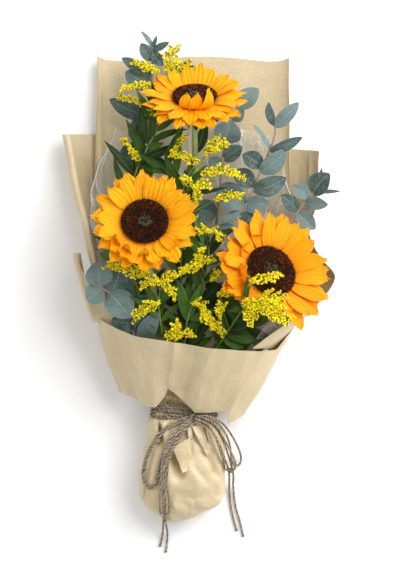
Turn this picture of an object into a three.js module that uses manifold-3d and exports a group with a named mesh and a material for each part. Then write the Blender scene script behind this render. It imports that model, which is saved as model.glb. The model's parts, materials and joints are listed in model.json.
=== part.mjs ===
// A florist's bunch of sunflowers with eucalyptus and goldenrod, wrapped in kraft paper and tied with jute twine.
// It lies on its back: X to the right, Y from the foot of the wrap to the blooms, Z up from the surface it lies on.
// The origin is on the flat underside of the tall back sheet. All sizes are in millimetres.
import * as THREE from "three";
import { mergeVertices } from "three/addons/utils/BufferGeometryUtils.js";
import Module from "manifold-3d";

const wasm = await Module();
wasm.setup();

// ---------------------------------------------------------------- driving dimensions
const PAPER_THICK = 1.0;
const LINER_THICK = 0.8;
const BLADE_THICK = 0.9;
const FIT_GAP = 0.35; // left between a plume and the twig that carries it
const SLIVER = 0.3; // edges and steps finer than this are merged
const SUNFLOWER_STEM_RADIUS = 4.5;
const EUCALYPTUS_STEM_RADIUS = 1.7;
const GOLDENROD_STEM_RADIUS = 1.5;
const TWIG_RADIUS = 0.8;
const TWINE_RADIUS = 1.7;
const LOOP_RADIUS = 2.8;
const DISC_RADIUS = 26.5;
const PETALS_PER_LAYER = 12;
const PETAL_LENGTH = 48;
const PETAL_WIDTH = 20;
const BRACT_COUNT = 8;
const NECK_Y = -143; // where the twine ties the stems
const NECK_X = -17;
const NECK_Z = 30;
const CUT_Y = -250; // where the stems are cut, inside the foot
const CUT_SPREAD = 1.05; // how far the stems open again below the tie
const FLORET_PITCH = 5.4; // between the rings of florets along a plume
const FLORET_SIDES = 6;
const SEED = 20251;

// ---------------------------------------------------------------- materials
const material = (color, roughness, options = {}) =>
  new THREE.MeshStandardMaterial({ color, roughness, metalness: 0, ...options });
const PETAL = material(0xffa815, 0.55);
const DISC = material(0x3a1d0e, 0.85);
const GREEN = material(0x3f5f26, 0.6);
const EUCALYPTUS = material(0x6d8a86, 0.6);
const GOLDENROD_GREEN = material(0x4a6b28, 0.65);
const GOLDENROD = material(0xe2d02a, 0.8);
const KRAFT = material(0xd8c49b, 0.7);
const CELLOPHANE = material(0xe9eef0, 0.1, { transparent: true, opacity: 0.25 });
const JUTE = material(0x8a7a5f, 0.9);

// ---------------------------------------------------------------- small helpers
const at = (x, y, z) => new THREE.Vector3(x, y, z);
const vectors = (rows) => rows.map((row) => at(...row));
const lerp = THREE.MathUtils.lerp;
const radians = THREE.MathUtils.degToRad;

let randomState = SEED;
// A repeatable random number between -1 and 1.
function jitter() {
  randomState = (Math.imul(randomState, 1664525) + 1013904223) >>> 0;
  return randomState / 2147483648 - 1;
}

// A closed geometry as a solid whose faces point outwards.
function solidOf(geometry) {
  const loose = geometry.index ? geometry.toNonIndexed() : geometry;
  const bare = new THREE.BufferGeometry();
  bare.setAttribute("position", loose.getAttribute("position"));
  const merged = mergeVertices(bare, 1e-4);
  const corners = new Float32Array(merged.attributes.position.array);
  const faces = new Uint32Array(merged.index.array);
  const build = () => new wasm.Manifold(new wasm.Mesh({ numProp: 3, vertProperties: corners, triVerts: faces }));
  const solid = build();
  if (solid.volume() > 0) return solid;
  for (let i = 0; i < faces.length; i += 3) {
    [faces[i + 1], faces[i + 2]] = [faces[i + 2], faces[i + 1]];
  }
  return build();
}

const fuse = (solids) => solids.reduce((whole, next) => whole.add(next));

// The largest body of a solid, so that a loose scrap of a cut is dropped, with its slivers merged.
function onePiece(solid) {
  return solid.simplify(SLIVER).decompose().sort((a, b) => b.volume() - a.volume())[0];
}

function meshOf(name, solid, look) {
  const mesh = solid.getMesh();
  const geometry = new THREE.BufferGeometry();
  geometry.setAttribute("position", new THREE.BufferAttribute(new Float32Array(mesh.vertProperties), 3));
  geometry.setIndex(new THREE.BufferAttribute(new Uint32Array(mesh.triVerts), 1));
  geometry.computeVertexNormals();
  const made = new THREE.Mesh(geometry, look);
  made.name = name;
  return made;
}

// A round tube along a smooth curve through the points, with flat ends.
function tube(points, radius, sides, steps) {
  const section = new THREE.Shape();
  for (let k = 0; k < sides; k += 1) {
    const turn = (2 * Math.PI * k) / sides;
    section[k ? "lineTo" : "moveTo"](radius * Math.cos(turn), radius * Math.sin(turn));
  }
  section.closePath();
  const path = new THREE.CatmullRomCurve3(vectors(points), false, "centripetal");
  return solidOf(new THREE.ExtrudeGeometry(section, { steps, extrudePath: path, bevelEnabled: false }));
}

// The direction square to a grid of points at one of them.
function gridNormal(grid, i, j) {
  const along = grid[Math.min(i + 1, grid.length - 1)][j].clone().sub(grid[Math.max(i - 1, 0)][j]);
  const across = grid[i][Math.min(j + 1, grid[i].length - 1)].clone().sub(grid[i][Math.max(j - 1, 0)]);
  return along.cross(across).normalize();
}

// A thin sheet of even thickness over a grid of points. Both faces are split into the same triangles.
function sheet(grid, thickness) {
  const rows = grid.length;
  const columns = grid[0].length;
  const corners = [];
  const faces = [];
  const index = (side, i, j) => side * rows * columns + i * columns + j;
  for (const offset of [thickness / 2, -thickness / 2]) {
    grid.forEach((row, i) =>
      row.forEach((point, j) => corners.push(...point.clone().addScaledVector(gridNormal(grid, i, j), offset))),
    );
  }
  for (let i = 0; i < rows - 1; i += 1) {
    for (let j = 0; j < columns - 1; j += 1) {
      const [a, b, c, d] = [index(0, i, j), index(0, i + 1, j), index(0, i + 1, j + 1), index(0, i, j + 1)];
      const under = rows * columns;
      faces.push(a, b, c, a, c, d);
      faces.push(a + under, c + under, b + under, a + under, d + under, c + under);
    }
  }
  const rim = [];
  for (let i = 0; i < rows; i += 1) rim.push([i, 0]);
  for (let j = 1; j < columns; j += 1) rim.push([rows - 1, j]);
  for (let i = rows - 2; i >= 0; i -= 1) rim.push([i, columns - 1]);
  for (let j = columns - 2; j > 0; j -= 1) rim.push([0, j]);
  rim.forEach(([i, j], k) => {
    const [m, n] = rim[(k + 1) % rim.length];
    faces.push(index(0, m, n), index(0, i, j), index(1, i, j));
    faces.push(index(0, m, n), index(1, i, j), index(1, m, n));
  });
  const geometry = new THREE.BufferGeometry();
  geometry.setAttribute("position", new THREE.Float32BufferAttribute(corners, 3));
  geometry.setIndex(faces);
  return solidOf(geometry);
}

// A blade: a strip along a spine of points, with its width at each of them, lying along the across direction.
function blade(spine, widths, across, thickness = BLADE_THICK) {
  const grid = spine.map((point, k) => [
    point.clone().addScaledVector(across, -widths[k] / 2),
    point.clone().addScaledVector(across, widths[k] / 2),
  ]);
  return sheet(grid, thickness);
}

const ROUND_LEAF = [
  [0, 0.06],
  [0.26, 0.9],
  [0.7, 0.92],
  [1, 0.2],
];
const LONG_LEAF = [
  [0, 0.1],
  [0.3, 0.85],
  [0.62, 0.9],
  [1, 0.1],
];

// A leaf from its base to its tip. Its face is turned to +Z, rolled about its own axis and arched by bend.
function leaf(base, tip, { width, roll = 0, bend = 0, outline = ROUND_LEAF }) {
  const axis = tip.clone().sub(base);
  const length = axis.length();
  axis.normalize();
  const across = at(0, 0, 1).cross(axis).normalize().applyAxisAngle(axis, radians(roll));
  const face = axis.clone().cross(across).normalize();
  const spine = outline.map(([share]) =>
    base
      .clone()
      .addScaledVector(axis, share * length)
      .addScaledVector(face, 4 * bend * share * (1 - share)),
  );
  return blade(
    spine,
    outline.map(([, share]) => share * width),
    across,
  );
}

// The point of a smooth route that is nearest to a place seen from above.
function nearest(route, [x, y]) {
  const samples = new THREE.CatmullRomCurve3(vectors(route), false, "centripetal").getPoints(80);
  return samples.reduce((best, point) =>
    Math.hypot(point.x - x, point.y - y) < Math.hypot(best.x - x, best.y - y) ? point : best,
  );
}

// A stem's route inside the wrap: from its cut end through its place in the tie, then on to the points given.
function stemRoute([x, z], onward) {
  const cut = [NECK_X + (x - NECK_X) * CUT_SPREAD, CUT_Y, NECK_Z + (z - NECK_Z) * CUT_SPREAD];
  return [cut, [x, NECK_Y - 12, z], [x, NECK_Y + 12, z], ...onward];
}

// ---------------------------------------------------------------- sunflowers
// tilt: how far the face leans away from +Z; toward: the direction it leans to, from +X towards +Y. folded petals lie
// over the disc; parted petals, between two angles, are pushed aside by the goldenrod that comes up there.
const SUNFLOWERS = [
  {
    name: "left",
    centre: [-63, 83, 138],
    tilt: 22,
    toward: 90,
    petal: 1,
    cup: [12, 13],
    neck: [-28, 31],
    route: [
      [-38, -60, 54],
      [-55, 10, 84],
      [-62, 52, 104],
    ],
    leaves: [
      { base: [-58, 36], tip: [-118, 46, 72], width: 22 },
      { base: [-50, -10], tip: [-74, 44, 80], width: 22, roll: -20 },
    ],
    folded: [],
  },
  {
    name: "right",
    centre: [86, 24, 120],
    tilt: 38,
    toward: 40,
    petal: 1.06,
    cup: [5, 28],
    neck: [-4, 31],
    route: [
      [20, -70, 48],
      [50, -22, 68],
      [66, 4, 84],
    ],
    leaves: [{ base: [44, -30], tip: [84, -34, 92], width: 20 }],
    folded: [],
    parted: [174, 218],
  },
  {
    name: "top",
    centre: [-4, 232, 92],
    tilt: 62,
    toward: 90,
    petal: 1,
    cup: [10, 20],
    neck: [-16, 20],
    route: [
      [-12, -40, 36],
      [-4, 70, 56],
      [-3, 150, 70],
      [-4, 186, 77],
    ],
    leaves: [{ base: [-3, 166], tip: [10, 208, 66], width: 14, outline: LONG_LEAF }],
    folded: [165, 190, 205],
  },
];

// The frame of a bloom: uphill lies in the disc towards the lean, side is square to it, out is the face's normal.
function bloomFrame({ centre, tilt, toward }) {
  const lean = radians(tilt);
  const turn = radians(toward);
  const uphill = at(Math.cos(lean) * Math.cos(turn), Math.cos(lean) * Math.sin(turn), -Math.sin(lean));
  const side = at(-Math.sin(turn), Math.cos(turn), 0);
  const out = at(Math.sin(lean) * Math.cos(turn), Math.sin(lean) * Math.sin(turn), Math.cos(lean));
  return { centre: at(...centre), uphill, side, out };
}

// A point of a bloom at an angle round the disc, a distance from its axis and a height above its middle.
function bloomPoint(frame, angle, radius, height) {
  return frame.centre
    .clone()
    .addScaledVector(frame.uphill, radius * Math.cos(angle))
    .addScaledVector(frame.side, radius * Math.sin(angle))
    .addScaledVector(frame.out, height);
}

// A turned solid on the bloom's axis from its profile of radius and height.
function onBloomAxis(frame, profile, segments, relief = () => 0) {
  const geometry = new THREE.LatheGeometry(
    profile.map(([radius, height]) => new THREE.Vector2(radius, height)),
    segments,
  );
  const places = geometry.attributes.position;
  for (let k = 0; k < places.count; k += 1) {
    const radius = Math.hypot(places.getX(k), places.getZ(k));
    const turn = Math.atan2(places.getZ(k), places.getX(k));
    const height = places.getY(k) + relief(radius, turn, places.getY(k));
    places.setXYZ(k, ...bloomPoint(frame, -turn, radius, height));
  }
  return solidOf(geometry);
}

// A blade that starts in the bloom at a radius and height, and then follows headings above the disc's plane.
function bloomBlade(frame, angle, start, legs, widths) {
  let [radius, height] = start;
  const spine = [bloomPoint(frame, angle, radius, height)];
  for (const [length, heading] of legs) {
    radius += length * Math.cos(radians(heading));
    height += length * Math.sin(radians(heading));
    spine.push(bloomPoint(frame, angle, radius, height));
  }
  const across = frame.uphill
    .clone()
    .multiplyScalar(-Math.sin(angle))
    .addScaledVector(frame.side, Math.cos(angle));
  return blade(spine, widths, across);
}

const RAY_ROOT_RADIUS = 21;

function isParted({ parted }, angle) {
  return Boolean(parted) && angle > radians(parted[0]) && angle < radians(parted[1]);
}

function sunflowerRays(flower, frame) {
  const parts = [
    onBloomAxis(
      frame,
      [
        [0, -4.8],
        [24.5, -4.8],
        [24.5, -1.7],
        [0, -1.7],
      ],
      12,
    ),
  ];
  const [middle, swing] = flower.cup;
  for (let layer = 0; layer < 2; layer += 1) {
    for (let k = 0; k < PETALS_PER_LAYER; k += 1) {
      const angle = (2 * Math.PI * (k + layer / 2)) / PETALS_PER_LAYER + 0.05 * jitter();
      if (isParted(flower, angle)) continue;
      const cup = middle + swing * Math.cos(angle) + layer * 13 + 3 * jitter();
      const length = flower.petal * PETAL_LENGTH * (1 - 0.1 * layer + 0.05 * jitter());
      const width = PETAL_WIDTH * (1 - 0.08 * layer);
      parts.push(
        bloomBlade(
          frame,
          angle,
          [RAY_ROOT_RADIUS, layer ? -2.7 : -3.8],
          [
            [0.46 * length, cup + 2],
            [0.34 * length, cup - 2],
            [0.26 * length, cup - 10],
          ],
          [5, width, 0.84 * width, 1.6],
        ),
      );
    }
  }
  for (const degrees of flower.folded) {
    parts.push(
      bloomBlade(
        frame,
        radians(degrees),
        [RAY_ROOT_RADIUS, -2.4],
        [
          [8, 2],
          [14, 84],
          [15, 146],
        ],
        [5, 9, 14, 2],
      ),
    );
  }
  return onePiece(fuse(parts));
}

// The disc: a raised ring of open florets round a lower middle, in a relief of rows that alternate.
function sunflowerDisc(frame) {
  const profile = [
    [0, -1.2],
    [18, -1.2],
    [24.4, 2.4],
    [DISC_RADIUS - 0.6, 5.6],
    [23.4, 8.6],
    [18.6, 8.8],
    [13.4, 7.6],
    [8.6, 7],
    [3.6, 7.4],
    [0, 7.2],
  ];
  const relief = (radius, turn, height) => {
    const ring = Math.round(radius / 5);
    return height > 3 && radius > 1 ? 1.1 * Math.cos(9 * turn + Math.PI * ring) : 0;
  };
  return onBloomAxis(frame, profile, 18, relief);
}

function sunflowerGreen(flower, frame) {
  const cup = (angle) => flower.cup[0] + flower.cup[1] * Math.cos(angle);
  const head = onBloomAxis(
    frame,
    [
      [0, -20],
      [5.5, -20],
      [22, -10],
      [23.5, -5.4],
      [0, -5.4],
    ],
    10,
  );
  const bracts = Array.from({ length: BRACT_COUNT }, (_, k) => {
    const angle = (2 * Math.PI * (k + 0.3)) / BRACT_COUNT;
    const legs = [
      [9, 4],
      [16, cup(angle) - 30],
    ];
    return bloomBlade(frame, angle, [15, -10.5], legs, [8, 12, 1.4]);
  });
  const route = [
    ...stemRoute(flower.neck, flower.route),
    frame.centre.clone().addScaledVector(frame.out, -28).toArray(),
    frame.centre.clone().addScaledVector(frame.out, -16).toArray(),
  ];
  const stem = tube(route, SUNFLOWER_STEM_RADIUS, 6, 9);
  const leaves = flower.leaves.map((one) => leaf(nearest(route, one.base), at(...one.tip), one));
  return onePiece(fuse([head, ...bracts, stem, ...leaves]));
}

function sunflower(flower) {
  const frame = bloomFrame(flower);
  return [
    meshOf(`sunflower_${flower.name}_rays`, sunflowerRays(flower, frame), PETAL),
    meshOf(`sunflower_${flower.name}_disc`, sunflowerDisc(frame), DISC),
    meshOf(`sunflower_${flower.name}_green`, sunflowerGreen(flower, frame), GREEN),
  ];
}

// ---------------------------------------------------------------- eucalyptus
// Each leaf: the place along the stem that it grows from, its tip, its width, and its roll about its own axis.
const EUCALYPTUS_SPRAYS = [
  {
    name: "top_left",
    neck: [-30, 17],
    route: [
      [-44, -30, 20],
      [-56, 80, 26],
      [-60, 180, 34],
      [-56, 250, 42],
      [-55, 296, 48],
    ],
    leaves: [
      { base: [-55, 294], tip: [-68, 315, 52], width: 7, roll: 40 },
      { base: [-55, 294], tip: [-50, 309, 50], width: 5 },
      { base: [-55, 291], tip: [-35, 301, 54], width: 9, roll: 20 },
      { base: [-55, 290], tip: [-43, 273, 52], width: 14, roll: 15 },
      { base: [-55, 278], tip: [-69, 300, 48], width: 16, roll: -15 },
      { base: [-56, 262], tip: [-92, 283, 41], width: 15, roll: 10 },
      { base: [-57, 250], tip: [-88, 266, 38], width: 27 },
      { base: [-58, 214], tip: [-107, 233, 36], width: 22, roll: -20 },
      { base: [-60, 180], tip: [-74, 213, 32], width: 36 },
      { base: [-59, 176], tip: [-97, 157, 34], width: 32 },
      { base: [-60, 172], tip: [-46, 156, 36], width: 13 },
    ],
  },
  {
    name: "back",
    neck: [-4, 13.5],
    route: [
      [10, -20, 16],
      [22, 80, 22],
      [29, 150, 30],
      [36, 196, 38],
      [48, 226, 46],
    ],
    leaves: [
      { base: [47, 223], tip: [73, 245, 50], width: 24 },
      { base: [40, 208], tip: [55, 221, 46], width: 17 },
      { base: [32, 180], tip: [40, 207, 44], width: 34 },
      { base: [29, 160], tip: [53, 176, 36], width: 20 },
      { base: [28, 146], tip: [14, 163, 30], width: 18 },
    ],
  },
  {
    name: "right",
    neck: [6, 21],
    route: [
      [30, -50, 26],
      [46, 40, 38],
      [55, 98, 50],
      [65, 120, 56],
      [75, 145, 62],
      [86, 170, 68],
      [93, 192, 74],
      [92, 200, 76],
    ],
    leaves: [
      { base: [92, 199], tip: [84, 227, 82], width: 12, roll: -20 },
      { base: [92, 197], tip: [121, 226, 84], width: 19, roll: 20 },
      { base: [86, 171], tip: [67, 202, 74], width: 13, roll: 62 },
      { base: [86, 169], tip: [125, 186, 76], width: 16, roll: 40 },
      { base: [78, 152], tip: [54, 166, 66], width: 22 },
      { base: [74, 143], tip: [105, 171, 72], width: 24, roll: 15 },
      { base: [65, 122], tip: [106, 137, 66], width: 24, roll: 10 },
      { base: [68, 128], tip: [42, 146, 58], width: 23 },
      { base: [56, 101], tip: [85, 108, 56], width: 21 },
      { base: [58, 105], tip: [22, 123, 54], width: 32 },
      { base: [54, 96], tip: [28, 84, 56], width: 13, roll: 20 },
    ],
  },
  {
    name: "far_right",
    neck: [11, 30],
    route: [
      [50, -60, 40],
      [88, 10, 50],
      [110, 80, 56],
      [124, 102, 60],
      [136, 116, 64],
      [142, 122, 66],
    ],
    leaves: [
      { base: [121, 97], tip: [101, 117, 66], width: 18, roll: 10 },
      { base: [120, 96], tip: [141, 76, 64], width: 21 },
      { base: [128, 106], tip: [156, 105, 72], width: 17, roll: 25 },
      { base: [134, 114], tip: [114, 128, 64], width: 18 },
      { base: [137, 118], tip: [158, 142, 76], width: 27, roll: -10 },
      { base: [141, 121], tip: [149, 149, 68], width: 6 },
      { base: [141, 121], tip: [171, 121, 66], width: 6, roll: 40 },
    ],
  },
  {
    name: "lower_left",
    neck: [-45, 35],
    route: [
      [-72, -70, 52],
      [-92, -24, 76],
      [-103, -4, 88],
      [-116, 6, 96],
      [-122, 16, 98],
    ],
    leaves: [
      { base: [-116, 6], tip: [-121, 36, 104], width: 33 },
      { base: [-115, 5], tip: [-131, -12, 98], width: 27, roll: 10 },
      { base: [-104, -2], tip: [-93, 33, 92], width: 28, roll: 10 },
      { base: [-100, -8], tip: [-80, 23, 86], width: 26, roll: 10 },
      { base: [-103, -4], tip: [-86, -22, 100], width: 28, roll: -10 },
    ],
  },
  {
    name: "low",
    neck: [-38, 41],
    route: [
      [-56, -90, 54],
      [-71, -52, 57],
      [-77, -32, 58],
    ],
    leaves: [
      { base: [-77, -34], tip: [-100, -50, 54], width: 26 },
      { base: [-75, -38], tip: [-62, -58, 68], width: 19, roll: 10 },
      { base: [-71, -50], tip: [-46, -40, 78], width: 24, roll: 10 },
    ],
  },
];

function eucalyptus(spray) {
  const route = stemRoute(spray.neck, spray.route);
  const stem = tube(route, EUCALYPTUS_STEM_RADIUS, 4, 9);
  const leaves = spray.leaves.map((one) => leaf(nearest(route, one.base), at(...one.tip), one));
  return [meshOf(`eucalyptus_${spray.name}`, onePiece(fuse([stem, ...leaves])), EUCALYPTUS)];
}

// ---------------------------------------------------------------- goldenrod
// Each plume: its lobes, each a route of points, its thickness, and the place on the stem that its twig leaves.
const GOLDENROD_SPRAYS = [
  {
    name: "top_left",
    neck: [-40, 24],
    route: [
      [-64, -40, 30],
      [-82, 60, 44],
      [-76, 140, 60],
      [-50, 196, 66],
      [-40, 236, 58],
    ],
    leaves: [{ base: [-77, 138], tip: [-112, 182, 74], width: 12, roll: 20, outline: LONG_LEAF }],
    plumes: [
      { name: "b", from: [-44, 220], thick: 10, lobes: [[[-48, 266, 52], [-63, 272, 53], [-80, 278, 52]]] },
      { name: "c", from: [-46, 212], thick: 9, lobes: [[[-58, 251, 66], [-76, 248, 68], [-92, 245, 70]]] },
      { name: "d", from: [-48, 200], thick: 9, lobes: [[[-52, 212, 68], [-72, 229, 66], [-94, 235, 60]]] },
      { name: "e", from: [-72, 150], thick: 8, lobes: [[[-70, 158, 72], [-78, 168, 72], [-90, 184, 70]]] },
      {
        name: "a",
        from: [-40, 234],
        thick: 18,
        lobes: [
          [[-38, 268, 28], [-33, 284, 27], [-29, 296, 28]],
          [[-36, 270, 26], [-22, 270, 25], [-8, 275, 25]],
        ],
      },
    ],
  },
  {
    name: "top_centre",
    neck: [-16, 30],
    route: [
      [-20, -30, 48],
      [-20, 50, 68],
      [-18, 100, 80],
      [-18, 130, 84],
      [-30, 146, 78],
      [-41, 149, 73],
    ],
    leaves: [
      { base: [-40, 149], tip: [-17, 200, 68], width: 13, roll: 10, outline: LONG_LEAF },
      { base: [-17, 118], tip: [37, 126, 84], width: 6, roll: 20, outline: LONG_LEAF },
    ],
    plumes: [
      { name: "f", from: [-16, 132], thick: 11, lobes: [[[0, 156, 92], [-16, 162, 94], [-32, 165, 93]]] },
      { name: "h", from: [-24, 149], thick: 7, lobes: [[[-30, 162, 80], [-24, 176, 80], [-15, 188, 80]]] },
      { name: "g", from: [-16, 126], thick: 16, lobes: [[[8, 164, 88], [20, 174, 90], [34, 180, 88]]] },
      { name: "i", from: [-17, 120], thick: 11, lobes: [[[4, 140, 100], [28, 146, 100], [56, 136, 96]]] },
      {
        name: "j",
        from: [-17, 116],
        thick: 11,
        lobes: [
          [[-6, 126, 106], [-12, 134, 106], [-19, 138, 104]],
          [[-4, 126, 106], [6, 128, 106], [13, 128, 105]],
          [[-4, 125, 106], [-2, 116, 107], [-5, 104, 107]],
        ],
      },
      { name: "l", from: [-19, 90], thick: 11, lobes: [[[20, 110, 102], [38, 116, 103], [52, 115, 101]]] },
    ],
  },
  {
    name: "centre",
    neck: [-13, 39],
    route: [
      [-8, -80, 60],
      [2, -20, 84],
      [10, 24, 98],
      [14, 56, 106],
    ],
    leaves: [
      { base: [12, 44], tip: [-8, 96, 106], width: 9, roll: 20, outline: LONG_LEAF },
      { base: [14, 55], tip: [44, 76, 110], width: 13, roll: -20, outline: LONG_LEAF },
      { base: [4, -10], tip: [24, 12, 94], width: 12, outline: LONG_LEAF },
    ],
    plumes: [
      {
        name: "m",
        from: [14, 54],
        thick: 11,
        lobes: [
          [[15, 72, 116], [8, 74, 117], [0, 73, 117]],
          [[15, 72, 116], [22, 72, 117], [25, 62, 116]],
        ],
      },
      {
        name: "o",
        from: [9, 20],
        thick: 12,
        lobes: [
          [[4, 32, 116], [1, 40, 118], [4, 52, 118]],
          [[4, 32, 116], [-8, 30, 120], [-21, 25, 120]],
          [[4, 34, 116], [12, 38, 118], [19, 40, 118]],
        ],
      },
      { name: "y", from: [8, 12], thick: 12, lobes: [[[16, 14, 112], [22, 19, 114], [32, 27, 112]]] },
    ],
  },
  {
    name: "lower_left",
    neck: [-26, 43],
    route: [
      [-34, -90, 66],
      [-44, -40, 92],
      [-48, -10, 108],
    ],
    leaves: [{ base: [-47, -16], tip: [-24, 12, 104], width: 8, outline: LONG_LEAF }],
    plumes: [
      { name: "p", from: [-48, -12], thick: 13, lobes: [[[-58, 22, 118], [-82, 26, 120], [-108, 32, 118]]] },
      {
        name: "q",
        from: [-47, -14],
        thick: 11,
        lobes: [
          [[-44, 10, 126], [-54, 14, 128], [-67, 8, 128]],
          [[-44, 10, 126], [-34, 18, 128], [-25, 22, 128]],
          [[-43, 10, 126], [-34, 2, 124], [-27, -6, 122]],
        ],
      },
      { name: "s", from: [-46, -24], thick: 14, lobes: [[[-46, -12, 124], [-58, -18, 124], [-76, -30, 118]]] },
    ],
  },
  {
    name: "bottom",
    neck: [-15, 44.5],
    route: [
      [-16, -98, 58],
      [-16, -70, 84],
      [-14, -40, 100],
      [-10, -24, 106],
    ],
    leaves: [
      { base: [-13, -36], tip: [-24, 16, 112], width: 11, roll: 15, outline: LONG_LEAF },
      { base: [-13, -34], tip: [6, 12, 110], width: 11, roll: -15, outline: LONG_LEAF },
      { base: [-14, -42], tip: [-36, -22, 108], width: 7, outline: LONG_LEAF },
    ],
    plumes: [
      {
        name: "u",
        from: [-16, -66],
        thick: 13,
        lobes: [
          [[-20, -52, 104], [-28, -53, 105], [-38, -52, 103]],
          [[-20, -52, 104], [-12, -50, 106], [-6, -50, 106]],
          [[-21, -50, 105], [-24, -44, 108], [-27, -38, 108]],
        ],
      },
      {
        name: "v",
        from: [-11, -28],
        thick: 13,
        lobes: [
          [[-6, -14, 118], [2, -14, 122], [9, -17, 122]],
          [[4, -17, 122], [9, -28, 122], [19, -38, 118], [30, -50, 110]],
        ],
      },
    ],
  },
  {
    name: "right",
    neck: [-1, 42],
    route: [
      [8, -92, 58],
      [30, -56, 84],
      [48, -28, 112],
      [58, -12, 140],
    ],
    leaves: [
      { base: [58, -13], tip: [61, 24, 164], width: 7, roll: 10, outline: LONG_LEAF },
      { base: [36, -46], tip: [62, -40, 104], width: 12, outline: LONG_LEAF },
    ],
    plumes: [
      { name: "w", from: [38, -44], thick: 12, lobes: [[[24, -4, 126], [36, 0, 128], [48, 2, 126]]] },
      { name: "k", from: [57, -14], thick: 12, lobes: [[[62, 12, 162], [80, 16, 158], [97, 22, 149]]] },
      {
        name: "z",
        from: [54, -20],
        thick: 20,
        lobes: [[[52, -12, 154], [66, -14, 159], [84, -20, 159], [108, -34, 152]]],
      },
      { name: "x", from: [34, -50], thick: 15, lobes: [[[26, -31, 124], [27, -22, 128], [28, -13, 130]]] },
    ],
  },
];

// One lobe of a plume: rings of pointed florets round its route, each ring turned half a floret from the last, and
// thinner towards the lobe's end.
function lobeSolid(lobe, thick) {
  const path = new THREE.CatmullRomCurve3(vectors(lobe), false, "centripetal");
  const rings = Math.max(4, Math.round(path.getLength() / FLORET_PITCH));
  const corners = [];
  const faces = [];
  for (let i = 0; i <= rings; i += 1) {
    const share = i / rings;
    const place = path.getPointAt(share);
    const along = path.getTangentAt(share);
    const square = at(0, 0, 1).cross(along).normalize();
    const taper = thick * 0.5 * lerp(1, 0.6, share) * (i === 0 || i === rings ? 0.45 : 1);
    for (let k = 0; k < FLORET_SIDES; k += 1) {
      const reach = taper * ((i + k) % 2 ? 1 : 0.55) * (1 + 0.12 * jitter());
      const outward = square.clone().applyAxisAngle(along, (2 * Math.PI * (k + 0.3 * jitter())) / FLORET_SIDES);
      corners.push(...place.clone().addScaledVector(outward, reach));
    }
  }
  for (let i = 0; i < rings; i += 1) {
    for (let k = 0; k < FLORET_SIDES; k += 1) {
      const next = (k + 1) % FLORET_SIDES;
      const [a, b] = [i * FLORET_SIDES + k, i * FLORET_SIDES + next];
      const [c, d] = [b + FLORET_SIDES, a + FLORET_SIDES];
      if ((i + k) % 2) faces.push(a, b, d, b, c, d);
      else faces.push(a, b, c, a, c, d);
    }
  }
  const last = rings * FLORET_SIDES;
  for (let k = 1; k < FLORET_SIDES - 1; k += 1) {
    faces.push(0, k + 1, k);
    faces.push(last, last + k, last + k + 1);
  }
  const geometry = new THREE.BufferGeometry();
  geometry.setAttribute("position", new THREE.Float32BufferAttribute(corners, 3));
  geometry.setIndex(faces);
  return solidOf(geometry);
}

const plume = ({ lobes, thick }) => fuse(lobes.map((lobe) => lobeSolid(lobe, thick)));

// The twig that carries a plume, from the stem to a little way into the plume's base.
function twigRoute(route, { from, lobes }) {
  const foot = nearest(route, from);
  const [start, next] = vectors(lobes[0]);
  const inside = start.clone().lerp(next, 0.2);
  const middle = foot.clone().lerp(start, 0.55).add(at(0, 0, -3));
  return [foot.toArray(), middle.toArray(), inside.toArray()];
}

function goldenrod(spray) {
  const route = stemRoute(spray.neck, spray.route);
  const green = [tube(route, GOLDENROD_STEM_RADIUS, 4, 8)];
  spray.leaves.forEach((one) => green.push(leaf(nearest(route, one.base), at(...one.tip), one)));
  const plumes = spray.plumes.map((one) => {
    const twig = twigRoute(route, one);
    green.push(tube(twig, TWIG_RADIUS, 3, 2));
    const cut = plume(one).subtract(tube(twig, TWIG_RADIUS + 2 * FIT_GAP, 3, 2));
    return meshOf(`goldenrod_${spray.name}_plume_${one.name}`, onePiece(cut), GOLDENROD);
  });
  return [meshOf(`goldenrod_${spray.name}_green`, onePiece(fuse(green)), GOLDENROD_GREEN), ...plumes];
}

// ---------------------------------------------------------------- kraft paper and liner
// A sheet's edge that rises in an arc from its flat part: start is where the arc begins, reach how far out it goes,
// rim its height there, and turn the angle at which it ends, from -90 where it starts.
function risingEdge({ start, reach, floor, rim, turn, y, rimY }, count) {
  const rise = (rim - floor) / (1 + Math.sin(radians(turn)));
  return Array.from({ length: count }, (_, k) => {
    const share = k / (count - 1);
    const angle = radians(lerp(-90, turn, share));
    return at(start + reach * Math.cos(angle), lerp(y, rimY ?? y, share), floor + rise * (1 + Math.sin(angle)));
  });
}

const FLAT_MARGIN = 4; // from where an edge starts to rise to the part of the sheet that is dead flat

// A back sheet's row: a rising edge on the left, a flat middle and a rising edge on the right.
function troughRow(y, floor, left, right, count = 3) {
  const edge = (side) => risingEdge({ y, floor, ...side }, count);
  const flat = [at(left.start + FLAT_MARGIN, y, floor), at(right.start - FLAT_MARGIN, y, floor)];
  return [...edge(left).reverse(), ...flat, ...edge(right)];
}

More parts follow.
